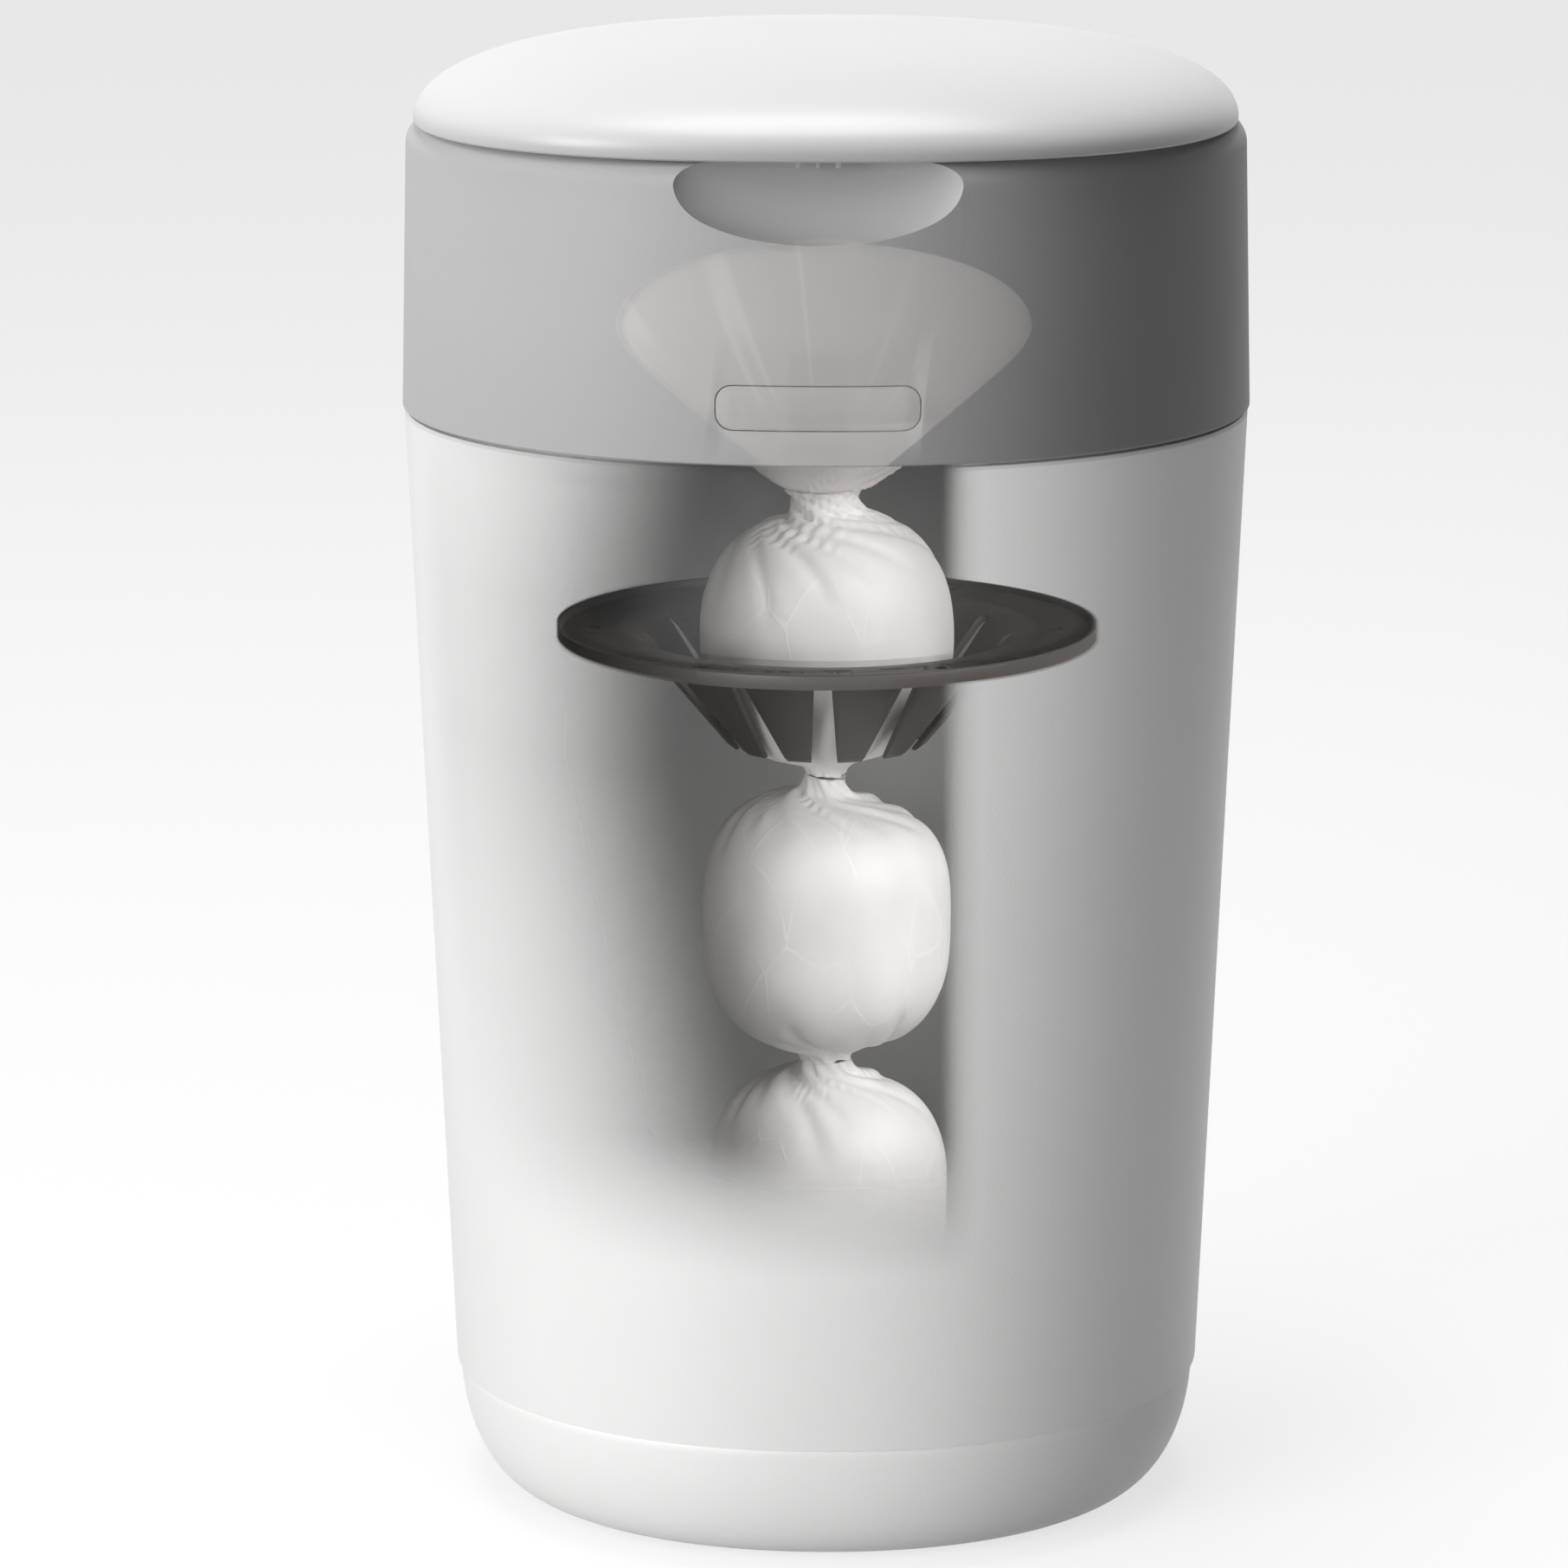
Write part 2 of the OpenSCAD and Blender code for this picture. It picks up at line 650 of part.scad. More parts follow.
// The pawl's outline: an eye on the pin and a nose in a click notch
module click_pawl() {
    nose_r = barrel_outer_r - click_depth + run_gap;
    arm = pawl_arm;
    color("dimgray") rotate(pawl_angle) translate([0, 0, pawl_z]) difference() {
        union() {
            translate([pawl_pos, 0, 0]) cylinder(r = pawl_boss_r, h = pawl_t);
            linear_extrude(pawl_t) polygon([
                [pawl_pos - pawl_half_t, 0], [pawl_pos + 1.5, -pawl_half_t], [barrel_outer_r + 5, -arm],
                [barrel_outer_r + 1, -arm - 1], [barrel_outer_r + 1, -arm + 3.5]]);
            linear_extrude(pawl_t) polygon([
                [sqrt(pow(nose_r, 2) - pow(pawl_nose_y, 2)), -pawl_nose_y],
                [barrel_outer_r + 2, -arm + 3], [barrel_outer_r + 2, -arm - 1]]);
        }
        translate([pawl_pos, 0, -1]) cylinder(d = pawl_pin_d + 2 * pin_gap, h = pawl_t + 2);
    }
}

module pawl_pin() {
    color("silver") rotate(pawl_angle)
        post(pawl_pin_d / 2, pawl_z - 1, deck_z - pawl_z - 0.5, pawl_pos);
}

// ---- Gripper ring -------------------------------------------------------

finger_lean = atan2(finger_drop - grip_ring_t, finger_top_r - finger_tip_r);
finger_tip_z = grip_ring_z - finger_drop;

module at_grip_screws() {
    for (i = [0:grip_screw_count - 1]) rotate(360 * i / grip_screw_count) children();
}

// One slot, running down the cone from the root of the fingers
module finger_slot() {
    root_r = finger_top_r - 5;
    translate([root_r, 0, grip_ring_z - 6]) rotate([0, 90 - finger_lean, 0]) {
        translate([-14, -finger_slot_w / 2, -60]) cube([28, finger_slot_w, 60]);
        translate([-14, 0, 0]) rotate([0, 90, 0]) cylinder(d = finger_slot_w, h = 28);
    }
}

module gripper_ring() {
    z = grip_ring_z;
    t = grip_ring_t;
    color("#4a4644") difference() {
        rotate_extrude() polygon([
            [grip_ring_r, z - t], [grip_ring_r, z + grip_edge_h],
            [grip_ring_r - grip_edge_w, z + grip_edge_h], [grip_ring_r - grip_edge_w, z],
            [finger_top_r + 2, z], [finger_top_r - 1, z - 1],
            [finger_tip_r + finger_t, finger_tip_z + 3], [finger_tip_r, finger_tip_z],
            [finger_tip_r + finger_t, finger_tip_z], [finger_tip_r + 2 * finger_t, finger_tip_z + 2],
            [finger_top_r + 1, z - t]]);
        at_grip_screws() post(grip_screw_d / 2 + pin_gap, z - 10, 20, grip_screw_pos);
        for (i = [0:finger_count - 1]) rotate(360 * i / finger_count) finger_slot();
    }
}

module gripper_screws() {
    color("silver") at_grip_screws() {
        post(grip_screw_d / 2, grip_ring_z - grip_ring_t - sliver, 6, grip_screw_pos);
        post(grip_screw_d, grip_ring_z - grip_ring_t - 2, 2, grip_screw_pos);
    }
}

// ---- Catch button -------------------------------------------------------

button_t = 4.4;
catch_arm_t = 2;
catch_arm_w = 16;
hook_h = 3.6;
hook_gap = 0.4;
hook_y = -rim_y + striker_reach;
catch_arm_y = hook_y + 0.6;
hook_z = striker_z - hook_gap - hook_h;
spring_z = deck_z - 50;
spring_seat_y = -sleeve_r - 1.5;

button_back_y = button_t - body_w / 2 * depth_ratio;

// Rounded plate that fills the opening in the collar's front
module catch_button() {
    color("darkgray") intersection() {
        skin(collar_outer);
        button_prism();
        translate([-far / 2, button_back_y - far, 0]) cube([far, far, far]);
    }
}

// Web behind the button, over the tub's rim, and down to the hook
module catch_hook() {
    web_z = rim_top_z + 2.5;
    web_top_z = web_z + 3;
    arm_top_z = spring_z + catch_spring_d / 2 + 1;
    barb_y = hook_y - catch_bite;
    back_y = catch_arm_y + catch_arm_t;
    color("dimgray") side_plate(-catch_arm_w / 2, catch_arm_w / 2,
               [[button_back_y, web_z], [catch_arm_y, web_z], [catch_arm_y, hook_z + hook_h],
                [barb_y, hook_z + hook_h], [catch_arm_y, hook_z], [back_y, hook_z],
                [back_y, arm_top_z], [catch_arm_y, arm_top_z],
                [catch_arm_y, web_top_z], [button_back_y, web_top_z]]);
}

module catch_spring() {
    length = spring_seat_y - (catch_arm_y + catch_arm_t) - catch_travel - run_gap;
    color("silver") translate([0, spring_seat_y, spring_z]) rotate([90, 0, 0])
        rotate_extrude() translate([catch_spring_d / 2 - 1, 0]) square([1, length]);
}

// ---- Twist ring and refill cassette -------------------------------------

twist_inner_r = barrel_outer_r - twist_wall;
twist_z = deck_top_z - twist_drop;
twist_ledge_t = 2;
twist_flange_t = 2.2;
film_inner_r = throat_r + cassette_wall;
film_outer_r = film_inner_r + film_space;
cassette_r = film_outer_r + cassette_wall;
cassette_rim_z = twist_z + twist_ledge_t;
cassette_z = cassette_rim_z - cassette_h;
inner_wall_z = cassette_rim_z - inner_wall_drop;
film_t = 0.5;

module twist_ring() {
    flange_z = deck_top_z + run_gap;
    color("lightgray") difference() {
        union() {
            rotate_extrude() polygon([
                [deck_hole_r + twist_flange_w, flange_z],
                [deck_hole_r + twist_flange_w, flange_z + twist_flange_t],
                [twist_inner_r, flange_z + twist_flange_t], [twist_inner_r, cassette_rim_z],
                [cassette_r + run_gap, cassette_rim_z], [cassette_r + run_gap, twist_z],
                [barrel_outer_r, twist_z], [barrel_outer_r, flange_z]]);
            for (i = [0:grip_count - 1]) rotate(360 * i / grip_count)
                translate([twist_inner_r + 0.5, -2, flange_z + 2]) cube([7, 4, 2.4]);
        }
        for (i = [0:click_count - 1]) rotate(360 * i / click_count + pawl_notch_angle)
            translate([barrel_outer_r, 0, twist_z - 1]) rotate(45)
                translate([-click_depth, -click_depth, 0] / sqrt(2))
                    cube([2 * click_depth, 2 * click_depth, twist_drop - deck_t - 1]);
    }
}

// Turns the ring of notches so that one lies under the pawl's nose
pawl_notch_angle = pawl_angle - asin(pawl_nose_y / barrel_outer_r);

module refill_cassette() {
    w = cassette_wall;
    color("white") rotate_extrude() polygon([
        [throat_r, cassette_z], [cassette_r, cassette_z], [cassette_r, cassette_rim_z],
        [twist_inner_r - run_gap, cassette_rim_z], [twist_inner_r - run_gap, cassette_rim_z + w],
        [film_outer_r, cassette_rim_z + w], [film_outer_r, cassette_z + w],
        [film_inner_r, cassette_z + w], [film_inner_r, inner_wall_z],
        [throat_r, inner_wall_z]]);
}

module cassette_cap() {
    z = cassette_rim_z + cassette_wall;
    r = throat_r;
    color("white") rotate_extrude() polygon([
        [twist_inner_r - 2 * run_gap, z], [twist_inner_r - 2 * run_gap, z + 2],
        [r + 3, z + 2], [r - 0.5, z + 1], [r - 2, z - 2], [r - 2, z - 5], [r - 0.6, z - 5.5],
        [r + 0.2, z - 5], [r + 0.2, z - 3], [r + 3, z]]);
}

module film_pack() {
    top = inner_wall_z - 1;
    color("#d8d2cf") tube(film_inner_r + run_gap, film_outer_r - run_gap,
                          cassette_z + cassette_wall, top - cassette_z - cassette_wall);
}

// Film drawn down the throat: radius at each height below its upper bend
funnel_top_z = inner_wall_z + run_gap + film_t;
funnel_neck_z = grip_ring_z + neck_up;
funnel_bend_z = funnel_neck_z + funnel_h;
funnel_steps = 10;
function funnel_r(u) = neck_r + (throat_r - run_gap - neck_r) * pow(cos(90 * u), 0.9);
function funnel_z(u) = funnel_bend_z - (funnel_bend_z - funnel_neck_z) * pow(sin(90 * u), 1.15);
function funnel_curve(t) =
    [for (i = [0:funnel_steps]) let (u = i / funnel_steps) [funnel_r(u) - t, funnel_z(u) + t * 0.6]];
function backwards(list) = [for (i = [len(list) - 1:-1:0]) list[i]];

module film_funnel() {
    lip = film_inner_r + 1;
    color("#e9e1de") rotate_extrude() polygon(concat(
        [[lip, funnel_top_z], [lip, funnel_top_z - film_t],
         [throat_r - run_gap, funnel_top_z - film_t]],
        funnel_curve(0), [[0, funnel_neck_z], [0, funnel_neck_z + 2]],
        backwards(funnel_curve(film_t)), [[throat_r - run_gap - film_t, funnel_top_z]]));
}

// ---- Wrapped bundles ----------------------------------------------------

bundle_gap = 0.4;
upper_top_z = funnel_neck_z - bundle_gap;
upper_bottom_z = upper_top_z - bundle_pitch;
middle_top_z = upper_bottom_z - bundle_gap;
middle_bottom_z = middle_top_z - bundle_pitch;
lower_bottom_z = middle_bottom_z - bundle_pitch;

// A filled wrap between two necks. foot and crown are the shares of the height
// over which it draws in to a neck, and a taper over 1 makes the foot conical.
function wrap_profile(r, z0, z1, foot, crown, taper) =
    let (h = z1 - z0, steps = 6)
    concat([[0, z0], [neck_r, z0]],
           [for (i = [1:steps - 1]) let (a = 90 * i / steps)
               [neck_r + (r - neck_r) * pow(sin(a), taper), z0 + h * foot * (1 - cos(a)) + 1]],
           [[r, z0 + h * foot + 1], [r, z1 - h * crown - 2]],
           [for (i = [steps - 1:-1:1]) let (a = 90 * i / steps)
               [neck_r + (r - neck_r) * sin(a), z1 - 2 - h * crown * (1 - cos(a))]],
           [[neck_r, z1 - 2], [neck_r, z1], [0, z1]]);

module wrap(r, z0, z1, foot, crown, taper = 1) {
    color("#ece6e1") rotate_extrude($fn = 64) polygon(wrap_profile(r, z0, z1, foot, crown, taper));
}

module bundle_upper() {
    wrap(upper_bundle_r, upper_bottom_z, upper_top_z, 0.34, 0.2, 1.6);
}

module bundle_middle() {
    wrap(middle_bundle_r, middle_bottom_z, middle_top_z, 0.2, 0.2);
}

module bundle_lower() {
    wrap(lower_bundle_r, lower_bottom_z, middle_bottom_z, 0.2, 0.2);
}

module film_knot() {
    color("#ece6e1") rotate_extrude($fn = 48) polygon([
        [0, floor_top_z], [9, floor_top_z], [neck_r, lower_bottom_z], [0, lower_bottom_z]]);
}

// ---- Lid ----------------------------------------------------------------

dome_z = lid_z + lid_rim_h;
dome_h = lid_h - lid_rim_h;
dome_steps = 8;
cutter_w = 34;
cutter_t = 10;
cutter_h = 12;
cutter_y = 34;
seal_r = 99;
seal_t = 3;

function dome_share(t) = pow(1 - pow(t, dome_exp), 1 / dome_exp);
function dome_rings(w, z, h) =
    [for (i = [0:dome_steps])
        let (t = i < dome_steps ? sin(90 * i / dome_steps) : 1, k = max(dome_share(t), 0.03))
        ring(z + h * t, w * k, 0, lid_exp)];

module lid_shell() {
    inner_w = lid_w - 2.2 * lid_wall;
    color("white") skin(concat(
        backwards(dome_rings(inner_w, dome_z, dome_h - lid_wall)),
        [ring(lid_z, inner_w, 0, lid_exp), ring(lid_z, lid_w, 0.4, lid_exp),
         ring(lid_z + 0.4, lid_w, 0, lid_exp)],
        dome_rings(lid_w, dome_z, dome_h)));
}

module lid_liner() {
    w = lid_hinge_w / 2 - knuckle_w - run_gap;
    color("white") difference() {
        union() {
            outline_plate(liner_z, liner_t, lid_w, lid_wall * 1.1 + run_gap, lid_exp);
            cross_bar(lid_knuckle_r, 2 * w, lid_hinge_y, lid_hinge_z);
            side_plate(-w, w, [
                [lid_hinge_y - 2.5, lid_hinge_z], [lid_hinge_y + 1, lid_hinge_z + 1],
                [lid_hinge_y - 3, liner_z + 0.5], [lid_hinge_y - 12, liner_z + 0.5],
                [lid_hinge_y - 9, lid_hinge_z + 2]]);
            // Grip ribs under the front edge
            for (x = [-1:1]) translate([x * 5.5, -lid_w / 2 * depth_ratio + 3.2, liner_z - 1.2])
                cylinder(r = 0.6, h = 1.3, $fn = 24);
        }
        cross_bar(lid_pin_d / 2 + pin_gap, far, lid_hinge_y, lid_hinge_z);
    }
}

module lid_seal() {
    color("dimgray") tube(seal_r, seal_r + seal_t, deck_top_z + run_gap,
                          liner_z - deck_top_z - run_gap);
}

module cutter_housing() {
    color("lightgray") difference() {
        translate([-cutter_w / 2, cutter_y - cutter_t / 2, liner_z - cutter_h])
            cube([cutter_w, cutter_t, cutter_h]);
        // Slot that the film is drawn into
        translate([-cutter_w / 2 - 1, cutter_y - 1.5, liner_z - cutter_h - 1])
            cube([cutter_w - 6, 3, cutter_h - 4]);
    }
}

module cutter_blade() {
    color("silver") translate([-cutter_w / 2 + 10, cutter_y - 0.3, liner_z - cutter_h + 1])
        cube([12, 0.6, cutter_h - 6]);
}

tub_shell();
base_foot();
foot_pads();
base_screws();
head_hinge_pin();
bundle_middle();
bundle_lower();
film_knot();
collar_shell();
head_deck();
drop_sleeve();
gripper_ring();
gripper_screws();
pawl_pin();
catch_spring();
lid_hinge_pin();
bundle_upper();
catch_button();
catch_hook();
click_pawl();
twist_ring();
refill_cassette();
cassette_cap();
film_pack();
film_funnel();
lid_shell();
lid_liner();
lid_seal();
cutter_housing();
cutter_blade();
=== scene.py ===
# %% [markdown]
# # A nappy bin with an x-ray view into its tub
#
# The bin has a white tapering tub on a rounded base, a grey collar with a finger scoop, and a
# domed lid. The picture it is made from looks into the tub through a soft clear patch, where the
# film hangs in a funnel, passes a dark gripper ring and goes on as a chain of wrapped bundles.
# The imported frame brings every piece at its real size, and this file gives the pieces their looks.

# %% Load the frame
import math
import random
import bmesh
import bpy
from mathutils import Matrix, Vector, noise


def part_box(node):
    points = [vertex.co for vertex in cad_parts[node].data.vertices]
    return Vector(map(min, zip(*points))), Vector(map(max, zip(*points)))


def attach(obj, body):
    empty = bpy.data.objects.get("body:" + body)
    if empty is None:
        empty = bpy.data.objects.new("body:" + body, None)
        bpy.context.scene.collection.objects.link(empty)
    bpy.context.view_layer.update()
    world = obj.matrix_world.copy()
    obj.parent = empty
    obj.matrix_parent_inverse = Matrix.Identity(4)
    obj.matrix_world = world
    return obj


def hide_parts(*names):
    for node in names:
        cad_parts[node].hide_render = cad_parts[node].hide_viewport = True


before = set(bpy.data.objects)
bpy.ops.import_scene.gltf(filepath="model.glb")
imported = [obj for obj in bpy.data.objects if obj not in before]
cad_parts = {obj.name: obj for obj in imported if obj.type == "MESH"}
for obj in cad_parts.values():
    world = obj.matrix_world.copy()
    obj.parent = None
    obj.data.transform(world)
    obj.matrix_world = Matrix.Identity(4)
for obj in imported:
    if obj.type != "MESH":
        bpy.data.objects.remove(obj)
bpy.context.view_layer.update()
MM = 0.001

# %% [markdown]
# ## Camera
#
# The camera comes first, because every later choice is judged through it. A long lens from two
# metres away keeps the sides nearly upright. The object stands a little right of the middle of
# the picture, which a small lens shift gives without turning the camera.

# %% Camera
CAMERA_AWAY = 2.0
CAMERA_HEIGHT = 0.650
LOOK_AT_HEIGHT = 0.2124
CAMERA_TURN = math.radians(1.15)
LENS = 156.95
SHIFT_X = -0.027

camera = bpy.data.objects.new("camera", bpy.data.cameras.new("camera"))
bpy.context.scene.collection.objects.link(camera)
camera.location = (CAMERA_AWAY * math.sin(CAMERA_TURN), -CAMERA_AWAY * math.cos(CAMERA_TURN), CAMERA_HEIGHT)
view_line = Vector((0, 0, LOOK_AT_HEIGHT)) - camera.location
camera.rotation_euler = view_line.to_track_quat("-Z", "Y").to_euler()
camera.data.lens = LENS
camera.data.sensor_width = 36
camera.data.shift_x = SHIFT_X
camera.data.clip_end = 20
bpy.context.scene.camera = camera
bpy.context.scene.view_settings.view_transform = "Standard"
print("camera:", [round(x, 3) for x in camera.location])

# %% [markdown]
# ## Small helpers for shapes
#
# Nearly every shell of the bin is a turned shape that was pressed into a rounded square. So a
# profile is spun round the axis first, as on a lathe, and then each point is moved out along its
# own direction by the reach of a superellipse. The spin keeps the quads even, and one profile
# holds outside, rim and inside of a shell.

# %% Spin a profile and press it square
DEPTH_RATIO = 0.96
CORNER_EXP = 2.1
LID_EXP = 2.4


def reach(angle, exponent):
    """How far a rounded square reaches in one direction, for a half width of 1."""
    return (abs(math.cos(angle)) ** exponent + abs(math.sin(angle)) ** exponent) ** (-1 / exponent)


def press_square(bm, exponent, ratio=DEPTH_RATIO):
    for v in bm.verts:
        angle = math.atan2(v.co.y, v.co.x)
        k = reach(angle, exponent)
        v.co.x *= k
        v.co.y *= k * ratio


def spin_profile(points, closed=True, steps=192):
    """Spins a profile of (radius, height) points round Z into a bmesh."""
    bm = bmesh.new()
    verts = [bm.verts.new((r, 0, z)) for r, z in points]
    edges = [bm.edges.new(pair) for pair in zip(verts, verts[1:])]
    if closed:
        edges.append(bm.edges.new((verts[-1], verts[0])))
    bmesh.ops.spin(bm, geom=verts + edges, cent=(0, 0, 0), axis=(0, 0, 1), dvec=(0, 0, 0),
                   angle=2 * math.pi, steps=steps, use_merge=True, use_duplicate=False)
    bmesh.ops.remove_doubles(bm, verts=bm.verts[:], dist=1e-6)
    bmesh.ops.dissolve_degenerate(bm, dist=1e-7, edges=bm.edges[:])
    bmesh.ops.recalc_face_normals(bm, faces=bm.faces[:])
    return bm


def add_shape(bm, other):
    """Adds the shape of another bmesh, which is used up."""
    mesh = bpy.data.meshes.new("shape")
    other.to_mesh(mesh)
    other.free()
    bm.from_mesh(mesh)
    bpy.data.meshes.remove(mesh)


def soften(bm, offset, least_angle=28, segments=2, spared=None):
    """Bevels every edge that is sharper than least_angle, apart from the spared ones."""
    bmesh.ops.remove_doubles(bm, verts=bm.verts[:], dist=0.04 * MM)
    sharp = [e for e in bm.edges
             if len(e.link_faces) == 2 and e.calc_face_angle(0) > math.radians(least_angle)
             and not (spared and spared(e))]
    bmesh.ops.bevel(bm, geom=sharp, affect="EDGES", offset=offset, segments=segments,
                    profile=0.5, material=-1, clamp_overlap=True)


def arc(cx, cz, r, start, end, steps, rz=None):
    """Points on an arc from start to end degrees, where 0 points outwards and 90 up."""
    rz = r if rz is None else rz
    turns = [math.radians(start + (end - start) * i / steps) for i in range(steps + 1)]
    return [(cx + r * math.cos(t), cz + rz * math.sin(t)) for t in turns]


def piece(name, bm, body, material, replaces=(), smooth_angle=32):
    """Makes a bmesh an object that rides on a body, with its finish."""
    mesh = bpy.data.meshes.new(name)
    bm.to_mesh(mesh)
    bm.free()
    mesh.shade_smooth()
    if smooth_angle is not None:
        mesh.set_sharp_from_angle(angle=math.radians(smooth_angle))
    obj = bpy.data.objects.new(name, mesh)
    bpy.context.scene.collection.objects.link(obj)
    mesh.materials.append(material)
    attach(obj, body)
    if replaces:
        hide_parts(*replaces)
    print("piece:", name, len(mesh.polygons), "faces on", body)
    return obj


def add_block(bm, low, high):
    """Adds a box between two corners."""
    low, high = Vector(low), Vector(high)
    made = bmesh.ops.create_cube(bm, size=1)["verts"]
    bmesh.ops.scale(bm, verts=made, vec=high - low)
    bmesh.ops.translate(bm, verts=made, vec=(low + high) / 2)
    return made


def add_cross_bar(bm, radius, length, y, z, segments=48):
    """Adds a round bar along X, centred on the middle plane."""
    made = bmesh.ops.create_cone(bm, cap_ends=True, cap_tris=False, segments=segments,
                                 radius1=radius, radius2=radius, depth=length)["verts"]
    bmesh.ops.rotate(bm, verts=made, cent=(0, 0, 0), matrix=Matrix.Rotation(math.pi / 2, 3, "Y"))
    bmesh.ops.translate(bm, verts=made, vec=(0, y, z))
    return made


def combined(bm, other, operation):
    """Cuts, joins or meets two closed bmeshes with the Boolean modifier, and returns the result."""
    parts = []
    for source in (bm, other):
        mesh = bpy.data.meshes.new("cutting")
        source.to_mesh(mesh)
        source.free()
        obj = bpy.data.objects.new("cutting", mesh)
        bpy.context.scene.collection.objects.link(obj)
        parts.append(obj)
    modifier = parts[0].modifiers.new("cut", "BOOLEAN")
    modifier.operation = operation
    modifier.solver = "EXACT"
    modifier.object = parts[1]
    graph = bpy.context.evaluated_depsgraph_get()
    result = bmesh.new()
    result.from_mesh(bpy.data.meshes.new_from_object(parts[0].evaluated_get(graph)))
    for obj in parts:
        bpy.data.objects.remove(obj)
    return result


print("helpers ready")

# %% [markdown]
# ## Writing shaders as sums
#
# A material is easier to read as a formula than as a tangle of nodes. One small class wraps an
# output socket, so that `1 - mask * 0.3` adds its Math nodes by itself, and one method adds every
# other kind of node.

# %% Sockets that add and multiply


class Value:
    """An output socket that takes part in sums and products."""

    def __init__(self, finish, socket):
        self.finish, self.socket = finish, socket

    def math(self, operation, *others):
        return self.finish.add("ShaderNodeMath", {"operation": operation},
                               dict(enumerate((self, *others))))

    def __add__(self, other):
        return self.math("ADD", other)

    def __sub__(self, other):
        return self.math("SUBTRACT", other)

    def __mul__(self, other):
        return self.math("MULTIPLY", other)

    def __truediv__(self, other):
        return self.math("DIVIDE", other)

    def __pow__(self, other):
        return self.math("POWER", other)

    def __rsub__(self, other):
        return self.finish.add("ShaderNodeMath", {"operation": "SUBTRACT"}, {0: other, 1: self})

    __radd__ = __add__
    __rmul__ = __mul__

    def step(self, low, high, start=0.0, end=1.0):
        """Rises smoothly from start at low to end at high."""
        return self.finish.add("ShaderNodeMapRange", {"interpolation_type": "SMOOTHSTEP"},
                               {"Value": self, "From Min": low, "From Max": high,
                                "To Min": start, "To Max": end})


class Finish:
    """One material: its Principled shader, and a method that adds any node."""

    def __init__(self, name, color, **constants):
        self.material = bpy.data.materials.new(name)
        self.material.use_nodes = True
        self.nodes = self.material.node_tree.nodes
        self.links = self.material.node_tree.links
        self.shader = self.nodes["Principled BSDF"]
        self.shader.inputs["Base Color"].default_value = (*color, 1)
        for socket, value in constants.items():
            self.shader.inputs[socket.replace("_", " ").title()].default_value = value
        self.place = self.add("ShaderNodeTexCoord", output="Object")

    def feed(self, socket, value):
        if isinstance(value, Value):
            self.links.new(value.socket, socket)
        elif isinstance(value, tuple) and len(value) == 3 and len(socket.default_value) == 4:
            socket.default_value = (*value, 1)
        else:
            socket.default_value = value

    def add(self, kind, settings=None, sockets=None, output=0):
        node = self.nodes.new(kind)
        for key, value in (settings or {}).items():
            setattr(node, key, value)
        for key, value in (sockets or {}).items():
            self.feed(node.inputs[key], value)
        return Value(self, node.outputs[output])

    def set(self, socket, value):
        self.feed(self.shader.inputs[socket], value)
        return self

    def axes(self):
        """The three Object coordinates as values, in metres."""
        split = self.add("ShaderNodeSeparateXYZ", None, {"Vector": self.place})
        return [Value(self, output) for output in split.socket.node.outputs]

    def noise(self, scale, detail=2.0, stretch=None):
        """Noise from 0 to 1. scale is in waves per metre."""
        where = self.place
        if stretch:
            where = self.add("ShaderNodeMapping", None, {"Vector": where, "Scale": stretch})
        return self.add("ShaderNodeTexNoise", None,
                        {"Vector": where, "Scale": scale, "Detail": detail})

    def mix(self, factor, a, b):
        return self.add("ShaderNodeMix", {"data_type": "RGBA"}, {0: factor, 6: a, 7: b}, output=2)

    def bump(self, height, distance, strength=1.0):
        """Bump from a height of 0 to 1, where distance is its depth in metres."""
        normal = self.add("ShaderNodeBump", None,
                          {"Height": height, "Distance": distance, "Strength": strength})
        return self.set("Normal", normal)


print("shader helpers ready")

# %% [markdown]
# ## The x-ray patches
#
# The clear patch is an alpha that is worked out from Object coordinates, so it stays on the same
# place of the tub from every side and at every pose. It gets narrower towards the foot and fades
# out softly above the base. The ring's own outline is clear as well, as it falls on the wall when
# seen from the camera: an ellipse that droops at its ends, because the wall curves away. On the
# collar the patch has the outline of the film funnel and a crisp edge, and it stays half tinted.
# Inside that outline the collar's colour is a painted picture of the lit film behind it: paler,
# with painted light that grows towards the right and painted pale streaks along the pleats.

# %% Patches of clear plastic
PATCH_LEFT = (0.036, 0.140)
PATCH_RIGHT = (0.034, 0.047)
PATCH_FOOT = (0.088, 0.134)
PATCH_TAPER = 0.22
PATCH_TOP_Z = 0.24
RING_SIGHT = (0.0019, 0.28205)
RING_OVAL = (0.0773, 0.0150)
RING_DEEP = 0.0021
RING_DROOP = 0.75
GHOST_WIDEST_Z = 0.3665
GHOST_HALF_W = 0.0588
GHOST_RISE = 0.0255
GHOST_CONE_W = 0.064
GHOST_CONE_SLOPE = 1.23
GHOST_MIDDLE_X = 0.0014
GHOST_NECK_Z = 0.318


def tub_patch(finish):
    """1 where the tub's front is clear."""
    x, y, z = finish.axes()
    taper = (PATCH_TOP_Z - z).math("MAXIMUM", z - PATCH_TOP_Z - 0.045).math("MAXIMUM", 0)
    left = taper * PATCH_TAPER - x
    beside = left.step(*PATCH_LEFT, 1, 0).math("MINIMUM", x.step(*PATCH_RIGHT, 1, 0))
    off = (z - RING_SIGHT[1] + x * x * RING_DROOP).math("ABSOLUTE") - RING_DEEP
    across, up = (x - RING_SIGHT[0]) / RING_OVAL[0], off.math("MAXIMUM", 0) / RING_OVAL[1]
    ring = (across * across + up * up).math("SQRT").step(0.985, 1.01, 1, 0)
    return beside.math("MAXIMUM", ring) * z.step(*PATCH_FOOT) * y.step(-0.06, -0.03, 1, 0)


